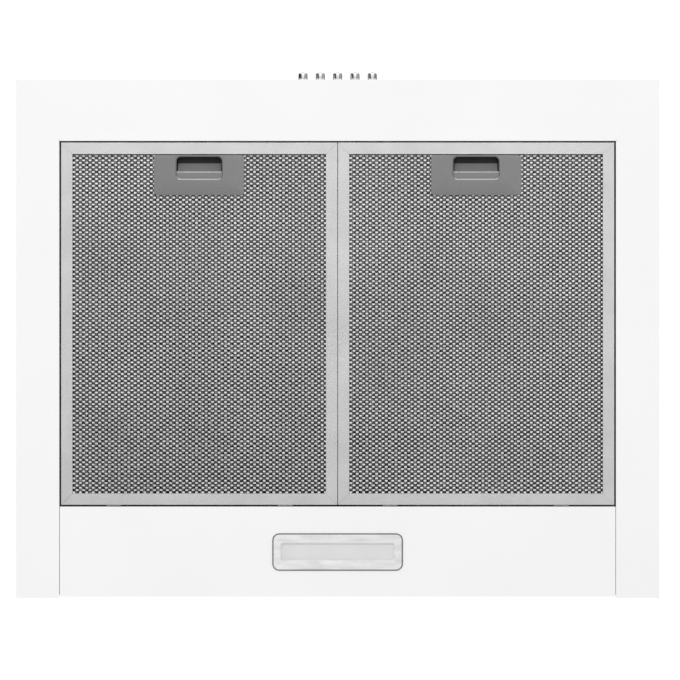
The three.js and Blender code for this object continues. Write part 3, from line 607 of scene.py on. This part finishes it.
def mitred_frame(name, low, high):
    """Four rails that meet at 45 degrees. Their UVs run along each rail, for its brushed lines."""
    middle = (low + high) / 2
    half = (high - low) / 2
    section = rail_section(high.z - low.z)
    count = len(section)
    vertices, faces, uvs = [], [], []
    for out_x, out_y in ((0, -1), (1, 0), (0, 1), (-1, 0)):
        first = len(vertices)
        depth, length = (half.x, half.y) if out_x else (half.y, half.x)
        for end in (-1, 1):
            for d, h in section:
                out, along = depth - d, end * (length - d - MITRE_GAP)
                x = middle.x + out_x * out - out_y * along
                y = middle.y + out_y * out + out_x * along
                vertices.append((x, y, low.z + h))
                uvs.append((along + out_x + 2 * out_y, h - d))
        for i in range(count):
            n = (i + 1) % count
            faces.append((first + i, first + n, first + n + count, first + i + count))
        faces.append(tuple(first + i for i in reversed(range(count))))
        faces.append(tuple(first + count + i for i in range(count)))
    piece = add_mesh(name, vertices, faces)
    layer = piece.data.uv_layers.new(name="along")
    for loop in piece.data.loops:
        layer.data[loop.index].uv = uvs[loop.vertex_index]
    return weld(piece)


def filter_frame(side):
    """Mitred C-section rails with rolled edges, two hinge tabs and a slot for the latch tongue."""
    node = f"{side}_filter_frame"
    low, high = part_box(node)
    x = (low.x + high.x) / 2
    if x < 0:
        high.x += SEAM_CLOSING
    else:
        low.x -= SEAM_CLOSING
    rail_high = Vector((high.x, high.y - TAB["reach"], high.z))
    piece = mitred_frame(f"{side}_rails", low, rail_high)
    slot_half = TONGUE["half"] + TONGUE_SLOT["clear"]
    slot_rear = low.y + RAIL["wall"] + TONGUE_SLOT["past_wall"]
    cut(
        piece,
        (x - slot_half, low.y - TONGUE_SLOT["clear"], low.z + TONGUE["low"] - TONGUE_SLOT["above"]),
        (x + slot_half, slot_rear, low.z + TONGUE["high"] + TONGUE_SLOT["above"]),
    )
    add_tabs(piece.data, x, rail_high.y, low.z)
    bevel(piece, 0.12 * MM, 1, 50)
    install(piece, node)


def add_tabs(mesh, x, rear, low_z):
    """Flat tabs with rounded free corners, which start inside the rear rail's wall."""
    build = bmesh.new()
    build.from_mesh(mesh)
    half, bend, reach = TAB["half"], TAB["round"], TAB["reach"]
    for middle in (x - TAB["offset"], x + TAB["offset"]):
        outline = [
            (middle - half, rear - RAIL["wall"] / 2),
            (middle + half, rear - RAIL["wall"] / 2),
            *arc(middle + half - bend, rear + reach - bend, bend, 0, 90),
            *arc(middle - half + bend, rear + reach - bend, bend, 90, 180),
        ]
        levels = [
            [build.verts.new((u, v, low_z + TAB[level])) for u, v in outline]
            for level in ("low", "high")
        ]
        build.faces.new(reversed(levels[0]))
        build.faces.new(levels[1])
        for i in range(len(outline)):
            n = (i + 1) % len(outline)
            build.faces.new((levels[0][i], levels[0][n], levels[1][n], levels[1][i]))
    build.to_mesh(mesh)
    build.free()
    shade(mesh, 35)


def filter_meshes(side):
    """Two fine sheets, each in a front and a rear half, with the coarse core between them."""
    frame_low, frame_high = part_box(f"{side}_filter_frame")
    base_low, base_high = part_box(f"{side}_handle_base")
    outer_low, outer_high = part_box(f"{side}_filter_outer_mesh")
    low = (frame_low.x + MESH_INSET[0], outer_low.y + MESH_INSET[1])
    high = (frame_high.x - MESH_INSET[0], outer_high.y - MESH_INSET[1])
    notch = (
        (base_low.x - NOTCH_GAP[0], frame_low.y),
        (base_high.x + NOTCH_GAP[0], base_high.y + NOTCH_GAP[1]),
    )

    def layer(name, node, facing, rows, form, turned_edge=0):
        node_low, node_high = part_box(f"{side}_filter_{node}")
        level = (node_low.z + node_high.z) / 2
        place = ((low, high), rows, level, facing, notch)
        piece = expanded_metal(f"{side}_{name}", *place, form, turned_edge)
        install(piece, f"{side}_filter_{node}")

    def row_count(form):
        return round(2 * (high[1] - low[1]) / form["cell"][1])

    count = row_count(SHEET)
    front, rear = range(count // 2), range(count // 2, count)
    layer("outer_strands_front", "outer_mesh", -1, front, SHEET, TURNED_EDGE)
    layer("outer_strands_rear", "outer_mesh", -1, rear, SHEET)
    layer("back_strands_front", "back_mesh", 1, front, SHEET)
    layer("back_strands_rear", "back_mesh", 1, rear, SHEET)
    layer("core_strands", "core", -1, range(row_count(CORE)), CORE)


# ---------------------------------------------------------------- handles

HANDLE = {"round": 3.5 * MM, "edge": 0.45 * MM, "gap": 0.35 * MM}
WINDOW = {"size": (43.2 * MM, 21.4 * MM), "round": 4.5 * MM, "inset": 1.7 * MM}
CHAMFER = {"run": 1.05 * MM, "rise": 0.42 * MM}
LIP = {"half": 22.9 * MM, "thickness": 1.3 * MM, "sunk": 0.1 * MM}
LIP_SETBACK = 13.9 * MM  # from the window's front edge
FINGER_RAMP = {"half": 20.2 * MM, "run": 8 * MM, "rise": 4.6 * MM, "thickness": 0.9 * MM}
RAMP_FOOT = {"in": 0.6 * MM, "up": 0.7 * MM, "rear": 1.6 * MM, "lean": 0.4 * MM}
POCKET = {"front": 0.8 * MM, "wall": 0.7 * MM, "roof": 0.8 * MM, "overlap": 0.3 * MM}


def rolled(centre, size, radius, depth, low_z):
    """Loops round a plate's lower edge, which is rounded by depth, from its rim to its flat."""
    return [
        grown(centre, size, radius, growth - depth, low_z + depth - rise)
        for growth, rise in arc(0, 0, depth, 0, 90, ROLL_STEPS)
    ]


def handle_cover(side):
    """A flat plate with a rounded window, whose lower edge is chamfered."""
    node = f"{side}_handle_cover"
    low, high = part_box(node)
    size = (high.x - low.x, high.y - low.y - HANDLE["gap"])
    centre = ((low.x + high.x) / 2, (low.y + high.y + HANDLE["gap"]) / 2)
    window_y = low.y + WINDOW["inset"] + WINDOW["size"][1] / 2
    window = ((centre[0], window_y), WINDOW["size"], WINDOW["round"])
    outer = (centre, size, HANDLE["round"])
    loops = [
        grown(*outer, 0, high.z),
        *rolled(*outer, HANDLE["edge"], low.z),
        grown(*window, CHAMFER["run"] / 2, low.z),
        grown(*window, -CHAMFER["run"] / 2, low.z + CHAMFER["rise"]),
        grown(*window, -CHAMFER["run"] / 2, high.z),
    ]
    install(shell_of_loops(f"{side}_cover", loops, 20), node)


def lip_outline(nose_y, rear_y, low_z):
    """The flat lip behind the window, chamfered like the window where the fingers go in."""
    high_z = low_z + LIP["thickness"]
    return [
        (nose_y, high_z),
        (nose_y, low_z + CHAMFER["rise"]),
        (nose_y + CHAMFER["run"], low_z),
        (rear_y, low_z),
        (rear_y, high_z),
    ]


def ramp_outline(nose_y, low_z, roof_y, roof_z):
    """A sloping plate from inside the lip's nose up to the roof."""
    return [
        (nose_y + RAMP_FOOT["in"], low_z + RAMP_FOOT["up"]),
        (nose_y + RAMP_FOOT["rear"], low_z + LIP["thickness"]),
        (roof_y + RAMP_FOOT["lean"], roof_z + FINGER_RAMP["thickness"]),
        (roof_y, roof_z),
    ]


def roof_outline(front_y, low_z, roof_y, roof_z):
    """The pocket's front wall and its roof, in one piece that reaches just over the ramp's end."""
    wall_y = front_y + POCKET["wall"]
    rear_y = roof_y + POCKET["overlap"]
    return [
        (front_y, low_z),
        (wall_y, low_z),
        (wall_y, roof_z),
        (rear_y, roof_z),
        (rear_y, roof_z + POCKET["roof"]),
        (front_y, roof_z + POCKET["roof"]),
    ]


def tongue_outline(tip_y, rear_y, low_z, high_z):
    """A flat tongue whose lower edge slopes at the tip, so that it snaps in."""
    return [
        (tip_y, low_z + TONGUE["nose_rise"]),
        (tip_y + TONGUE["nose_run"], low_z),
        (rear_y, low_z),
        (rear_y, high_z),
        (tip_y, high_z),
    ]


def latch_slider(side):
    """The finger lip, the ramp from it up into the pocket, and the tongue in front of that. The
    pocket roof and tongue are black: painted shade for the pocket's deep front.
    """
    node = f"{side}_latch_slider"
    low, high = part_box(node)
    x = (low.x + high.x) / 2
    window_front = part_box(f"{side}_handle_cover")[0].y + WINDOW["inset"]
    front_y = window_front - POCKET["front"]
    nose_y = window_front + LIP_SETBACK
    lip_z = low.z + LIP["sunk"]
    roof_y = nose_y - FINGER_RAMP["run"]
    roof_z = lip_z + FINGER_RAMP["rise"]
    rails_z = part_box(f"{side}_filter_frame")[0].z
    tongue_z = (rails_z + TONGUE["low"], rails_z + TONGUE["high"])
    lip = lip_outline(nose_y, high.y, lip_z)
    ramp = ramp_outline(nose_y, lip_z, roof_y, roof_z)
    roof = roof_outline(front_y, tongue_z[0], roof_y, roof_z)
    tongue = tongue_outline(low.y, front_y + POCKET["overlap"], *tongue_z)
    for name, outline, half, edge, finish in (
        ("lip", lip, LIP["half"], 0.12 * MM, "grey_plastic"),
        # The ramp gets the grey plastic without its shine, as painted shade for the recess.
        ("ramp", ramp, FINGER_RAMP["half"], 0.3 * MM, "recess_shade_plastic"),
        # Black roof and tongue: painted shade for the deep front of the pocket.
        ("pocket_roof", roof, LIP["half"], 0.15 * MM, "black_plastic"),
        ("tongue", tongue, TONGUE["half"], 0.2 * MM, "black_plastic"),
    ):
        piece = extrusion(f"{side}_{name}", outline, x - half, x + half)
        bevel(piece, edge, angle=20)
        install(piece, node)
        paint(piece, finish)


# ---------------------------------------------------------------- lamp

BEZEL = {"round": 6.4 * MM, "edge": 0.7 * MM, "lap": 0.3 * MM, "skirt": 2.6 * MM}
DISH = {"run": 3.2 * MM, "rise": 0.15 * MM}
DISH_EDGE = ((0.3 * MM, 0.2 * MM), (0.05 * MM, 0.3 * MM))  # (out from the window, up)
LENS = {
    "size": (106.3 * MM, 17.4 * MM),
    "round": 2.6 * MM,
    "slope": 1.3 * MM,
    "thickness": 1 * MM,
    "corner": 2 * MM,
    "edge": 0.3 * MM,
    "cover": 1 * MM,
    "play": 0.1 * MM,
}
# The grey ring round the bezel is painted shadow for the gap at its edge.
SHADOW_RING = {"shows": 1.15 * MM, "reach": 2.4 * MM}


def lamp_outline():
    return *plan("lamp_bezel"), BEZEL["round"]


def lamp_bezel():
    """A shallow dished rim with a soft outer edge, and a skirt that goes up through the panel."""
    low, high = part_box("lamp_bezel")
    outer = lamp_outline()
    centre, size, corner = outer
    shows = SHADOW_RING["shows"]
    rim = (centre, tuple(length - 2 * shows for length in size), corner - shows)
    window = (centre, LENS["size"], LENS["round"])
    lap_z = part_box("light_panel")[0].z - BEZEL["lap"]
    seat_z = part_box("lamp_diffuser")[1].z - LENS["thickness"] - LENS["play"]
    loops = [
        grown(*rim, 0, lap_z),
        *rolled(*rim, BEZEL["edge"], low.z),
        grown(*rim, -DISH["run"], low.z + DISH["rise"]),
        *(grown(*window, out, low.z + up) for out, up in DISH_EDGE),
        grown(*window, -LENS["slope"], seat_z - LENS["play"]),
        grown(*window, -LENS["slope"], seat_z),
        grown(*window, LENS["cover"], seat_z),
        grown(*window, LENS["cover"], high.z),
        grown(*outer, -BEZEL["skirt"], high.z),
        grown(*outer, -BEZEL["skirt"], lap_z),
    ]
    install(shell_of_loops("bezel_rim", loops), "lamp_bezel")


def lamp_lens():
    """A flat frosted plate that lies on the foot of the bezel's sloping edge."""
    high_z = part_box("lamp_diffuser")[1].z
    plate = (*plan("lamp_diffuser"), LENS["corner"])
    loops = [grown(*plate, 0, high_z)]
    loops += rolled(*plate, LENS["edge"], high_z - LENS["thickness"])
    install(shell_of_loops("lens_plate", loops, ring=False), "lamp_diffuser")


def lamp_shadow_ring():
    """A grey ring that shows round the bezel's rim: painted shadow for the gap between the bezel
    and the panel.
    """
    outer = lamp_outline()
    panel_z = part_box("light_panel")[0].z
    section = [
        (-SHADOW_RING["reach"], -0.05 * MM),
        (0, -0.05 * MM),
        (0, -0.4 * MM),
        (-0.3 * MM, -0.6 * MM),
        (-SHADOW_RING["shows"], -0.35 * MM),
        (-SHADOW_RING["reach"], -0.28 * MM),
    ]
    loops = [grown(*outer, growth, panel_z + rise) for growth, rise in section]
    fit(shell_of_loops("lamp_shadow_ring", loops), "hood", "grey_plastic")


# ---------------------------------------------------------------- shell

WELD = {"half": 0.35 * MM, "sunk": 0.07 * MM, "depth": 0.9 * MM, "start": 0.02, "end": 0.985}
PANEL_SEAM = 0.5 * MM  # between the light panel and the flange beside it
# The black strip round the opening is painted shade for the gap round the filters.
SHADE_STRIP = {"round": 1 * MM, "thickness": 0.35 * MM, "above": 1.1 * MM, "height": 1.7 * MM}


def corner_weld(name, side):
    """The dressed and painted weld in a front corner's mitre, a hair below the surface."""
    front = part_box("front_panel")[0]
    start = Vector((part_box("right_side_panel")[1].x, front.y))
    opening_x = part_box("light_panel")[1].x + PANEL_SEAM
    opening_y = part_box("left_filter_frame")[0].y - FILTER_GAP
    run = Vector((opening_x, opening_y)) - start
    across = Vector((-run.y, run.x)).normalized() * WELD["half"]
    ends = [start + run * WELD["start"], start + run * WELD["end"]]
    outline = [ends[0] - across, ends[1] - across, ends[1] + across, ends[0] + across]
    levels = (front.z + WELD["sunk"], front.z + WELD["depth"])
    loops = [[(side * u, v, z) for u, v in outline] for z in levels]
    fit(shell_of_loops(name, loops, ring=False), "hood", "painted_steel")


def opening_shade_strip():
    """A thin black strip on the walls round the opening, next to the filters' frames: painted shade
    that darkens the gap round them.
    """
    low_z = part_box("front_panel")[0].z + SHADE_STRIP["above"]
    front_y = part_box("left_filter_frame")[0].y - FILTER_GAP
    rear_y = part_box("left_filter_frame")[1].y - TAB["reach"] + FILTER_GAP
    half_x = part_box("right_filter_frame")[1].x + FILTER_GAP
    opening = ((0, (front_y + rear_y) / 2), (2 * half_x, rear_y - front_y), SHADE_STRIP["round"])
    levels = (low_z, low_z + SHADE_STRIP["height"])
    loops = [grown(*opening, 0, z) for z in levels]
    loops += [grown(*opening, -SHADE_STRIP["thickness"], z) for z in reversed(levels)]
    fit(shell_of_loops("opening_shade_strip", loops), "hood", "black_plastic")


# ---------------------------------------------------------------- push buttons

BUTTONS = ("light", "off", "speed_1", "speed_2", "speed_3")
CAP = {"length": 12.5 * MM, "crown": 0.35 * MM, "rim": 1.7 * MM, "chamfer": 0.4 * MM}
STEM_RADIUS = 2.5 * MM


def push_button(node):
    """A turned chrome cap with a crowned, radiused end, on its stem."""
    low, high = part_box(node)
    radius = (high.x - low.x) / 2
    centre = ((low.x + high.x) / 2, 0, (low.z + high.z) / 2)
    shoulder = low.y + CAP["length"]
    rim = CAP["rim"]
    profile = [
        (0, low.y),
        (radius * 0.3, low.y + CAP["crown"] / 4),
        *arc(radius - rim, low.y + CAP["crown"] + rim, rim, -80, 0, 8),
        (radius, shoulder - CAP["chamfer"]),
        (radius - CAP["chamfer"], shoulder),
        (STEM_RADIUS, shoulder),
        (STEM_RADIUS, high.y),
        (0, high.y),
    ]
    cap = lathe(f"{node}_cap", profile, centre, axis="y", segments=48, smooth_below=50)
    install(cap, node)


# ---------------------------------------------------------------- springs

BUTTON_SPRING = {"turns": 7, "wire": 0.3 * MM, "travel": 4 * MM}
LATCH_SPRING = {"turns": 8, "wire": 0.25 * MM, "travel": 5 * MM}
SPRING_SIDES = 8
SPRING_STEPS = 20  # to a turn
END_CROWDING = 0.8  # 0 is an even coil, and at 1 the end turns would touch


def coil_spring(node, form):
    """A coil along y whose end turns lie closer."""
    low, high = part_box(node)
    turns, wire = form["turns"], form["wire"]
    radius = (high.x - low.x) / 2 - wire
    middle_x, middle_z = (low.x + high.x) / 2, (low.z + high.z) / 2
    length = high.y - low.y - 2 * wire
    vertices = []
    rings = turns * SPRING_STEPS + 1
    for i in range(rings):
        share = i / (rings - 1)
        angle = 2 * math.pi * turns * share
        crowding = END_CROWDING * math.sin(2 * math.pi * share) / (2 * math.pi)
        y = low.y + wire + length * (share - crowding)
        for k in range(SPRING_SIDES):
            around = 2 * math.pi * k / SPRING_SIDES
            out = radius + wire * math.cos(around)
            x = middle_x + out * math.cos(angle)
            z = middle_z + out * math.sin(angle)
            vertices.append((x, y + wire * math.sin(around), z))
    piece = add_mesh(f"{node}_coil", vertices, tube_faces(0, rings, SPRING_SIDES))
    install(weld(piece, 60), node)
    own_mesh(piece)


# ---------------------------------------------------------------- outlet

COLLAR = {"outer": 59.75 * MM, "inner": 57.5 * MM, "ledge": 3 * MM, "seat": -2.6 * MM}
COLLAR_FLANGE = {"top": -1.3 * MM, "thickness": 2 * MM, "fillet": 1 * MM}
GROOVES = {"first": 7 * MM, "pitch": 5 * MM, "count": 3, "depth": 0.5 * MM, "half": 1 * MM}


def outlet_collar():
    """A moulded spigot with a rounded rim, and grooves near it that the duct's clip bites into."""
    low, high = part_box("outlet_collar")
    outer, inner = COLLAR["outer"], COLLAR["inner"]
    ledge = inner - COLLAR["ledge"]
    top, fillet = COLLAR_FLANGE["top"], COLLAR_FLANGE["fillet"]
    underside = top - COLLAR_FLANGE["thickness"]
    centre, size = plan("outlet_collar")
    flange = size[0] / 2
    rim = (outer - inner) / 2
    profile = [
        (inner, COLLAR["seat"]),
        (ledge, COLLAR["seat"]),
        (ledge, low.z),
        (outer, low.z),
        (outer, underside),
        (flange, underside),
        (flange, top),
        (outer + fillet, top),
        (outer, top + fillet),
    ]
    for i in reversed(range(GROOVES["count"])):
        middle = high.z - GROOVES["first"] - i * GROOVES["pitch"]
        profile += [
            (outer, middle - GROOVES["half"]),
            (outer - GROOVES["depth"], middle),
            (outer, middle + GROOVES["half"]),
        ]
    profile += arc(outer - rim, high.z - rim, rim, 0, 180, 8)
    centre = (*centre, 0)
    spigot = lathe("collar_spigot", profile, centre, axis="z", segments=96, smooth_below=40)
    install(spigot, "outlet_collar")


# ---------------------------------------------------------------- assembly

EDGES = {
    "painted_steel": 0.15 * MM,
    "zinc_steel": 0.25 * MM,
    "grey_plastic": 0.45 * MM,
    "black_plastic": 0.5 * MM,
    "white_plastic": 0.5 * MM,
    "frosted_plastic": 0.4 * MM,
    "circuit_board": 0.1 * MM,
    "cable_jacket": 0.2 * MM,
}


def finish_the_rest():
    """Rounds the edges of every CAD node that nothing stands for yet. Cables are round already."""
    for node, cad_object in frame["nodes"].items():
        if cad_object.hide_render:
            continue
        if node.endswith("_cable"):
            paint(cad_object, SLOT_OF[node])
        else:
            rounded_copy(node, EDGES[SLOT_OF[node]])


for side in ("left", "right"):
    filter_frame(side)
    filter_meshes(side)
    handle_cover(side)
    latch_slider(side)
lamp_bezel()
lamp_lens()
lamp_shadow_ring()
opening_shade_strip()
corner_weld("corner_weld_left", -1)
corner_weld("corner_weld_right", 1)
for button in BUTTONS:
    push_button(f"button_{button}")
    coil_spring(f"button_{button}_spring", BUTTON_SPRING)
for side in ("left", "right"):
    coil_spring(f"{side}_latch_spring", LATCH_SPRING)
outlet_collar()
finish_the_rest()


# ---------------------------------------------------------------- studio

CENTRE = (0.0022, -0.2399)
VIEW_WIDTH = 0.6322  # how much of the underside's plane the camera takes in
CAMERA_DROP = 2.0
SENSOR = 36  # millimetres
FLOOR = {"z": -3.3, "half": 60}
KEY = {"at": (-0.8, -3.3, -3.5), "target": (0, -0.24, -0.14), "size": (1.6, 1.2), "power": 55}
BACKDROP = 1.05
AMBIENT = 0.845
STUDIO = 4  # the brightness of what the stops below call 1

# What the studio shows in each direction: a product of brightnesses, each of which follows one
# part of the direction. The bright stop near the front is a strip light.
ACROSS = [(-1, 0.1), (-0.64, 0.12), (-0.5, 0.85), (0.3, 1), (0.46, 0.95), (0.6, 0.4)]
ACROSS += [(0.8, 0.32), (0.86, 0.8), (0.9, 0.8), (0.95, 0.4)]
DEPTH = [(-1, 0.08), (-0.88, 0.2), (-0.8, 1), (-0.64, 1), (-0.58, 0.3), (-0.18, 0.3)]
DEPTH += [(-0.06, 0.235), (0.12, 0.2), (0.3, 0.13), (0.5, 0.08)]
HEIGHT = [(-1, 1), (-0.75, 1), (-0.4, 0.6), (0.2, 0.35)]


def add_camera():
    """Straight below the object and looking up, with the object's front at the top."""
    camera = bpy.data.objects.new("camera", bpy.data.cameras.new("camera"))
    camera.data.sensor_width = SENSOR
    camera.data.lens = SENSOR * CAMERA_DROP / VIEW_WIDTH
    camera.location = (*CENTRE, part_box("front_panel")[0].z - CAMERA_DROP)
    camera.rotation_euler = (math.pi, 0, 0)
    bpy.context.scene.collection.objects.link(camera)
    bpy.context.scene.camera = camera


def add_floor():
    half = FLOOR["half"]
    corners = [(x * half, y * half, FLOOR["z"]) for x, y in ((-1, -1), (1, -1), (1, 1), (-1, 1))]
    floor = add_mesh("floor", corners, [(0, 1, 2, 3)])
    finish = Finish("pale_floor", grey(0.95), 0.6)
    finish.vary_roughness(finish.noise(0.2), 0.55, 0.65)
    floor.data.materials.append(finish.material)
    floor.visible_diffuse = False
    floor.visible_glossy = False
    floor.visible_shadow = False


def add_key():
    """A softbox below the front left, which neither the camera nor a mirror sees."""
    light = bpy.data.objects.new("key", bpy.data.lights.new("key", "AREA"))
    light.data.shape = "RECTANGLE"
    light.data.size, light.data.size_y = KEY["size"]
    light.data.energy = KEY["power"]
    light.location = KEY["at"]
    aim = Vector(KEY["target"]) - Vector(KEY["at"])
    light.rotation_euler = aim.to_track_quat("-Z", "Y").to_euler()
    light.visible_camera = False
    light.visible_glossy = False
    bpy.context.scene.collection.objects.link(light)


def ramp(tree, value, stops):
    """A brightness that follows (value, brightness) stops, with values from -1 to 1."""
    spread = tree.nodes.new("ShaderNodeMapRange")
    spread.inputs["From Min"].default_value = -1
    tree.links.new(value, spread.inputs["Value"])
    node = tree.nodes.new("ShaderNodeValToRGB")
    elements = node.color_ramp.elements
    while len(elements) < len(stops):
        elements.new(0.5)
    for element, (at, brightness) in zip(elements, stops):
        element.position = (at + 1) / 2
        element.color = (*grey(brightness), 1)
    tree.links.new(spread.outputs["Result"], node.inputs["Fac"])
    return node.outputs["Color"]


def product(tree, a, b):
    """The colour a multiplied by the colour b."""
    node = tree.nodes.new("ShaderNodeVectorMath")
    node.operation = "MULTIPLY"
    tree.links.new(a, node.inputs[0])
    tree.links.new(b, node.inputs[1])
    return node.outputs["Vector"]


def surroundings(tree):
    """What glossy surfaces mirror: bright below, grey towards the horizon, dark on the left."""
    direction = tree.nodes.new("ShaderNodeTexCoord").outputs["Generated"]
    parts = tree.nodes.new("ShaderNodeSeparateXYZ")
    tree.links.new(direction, parts.inputs["Vector"])
    across = ramp(tree, parts.outputs["X"], ACROSS)
    depth = ramp(tree, parts.outputs["Y"], DEPTH)
    height = ramp(tree, parts.outputs["Z"], HEIGHT)
    return product(tree, product(tree, across, depth), height)


def add_world():
    """White behind the object, even light on it, and a studio for it to mirror."""
    world = bpy.data.worlds.new("studio")
    bpy.context.scene.world = world
    world.use_nodes = True
    world.cycles.sampling_method = "NONE"
    tree = world.node_tree
    path = tree.nodes.new("ShaderNodeLightPath")

    def light(strength, colour=None):
        node = tree.nodes.new("ShaderNodeBackground")
        node.inputs["Color"].default_value = (1, 1, 1, 1)
        node.inputs["Strength"].default_value = strength
        if colour:
            tree.links.new(colour, node.inputs["Color"])
        return node.outputs["Background"]

    def choose(flag, otherwise, chosen):
        node = tree.nodes.new("ShaderNodeMixShader")
        tree.links.new(path.outputs[flag], node.inputs["Fac"])
        tree.links.new(otherwise, node.inputs[1])
        tree.links.new(chosen, node.inputs[2])
        return node.outputs["Shader"]

    lighting = choose("Is Glossy Ray", light(AMBIENT), light(STUDIO, surroundings(tree)))
    shown = choose("Is Camera Ray", lighting, light(BACKDROP))
    tree.links.new(shown, tree.nodes["World Output"].inputs["Surface"])


add_camera()
add_floor()
add_world()
add_key()
bpy.context.scene.view_settings.view_transform = "Standard"
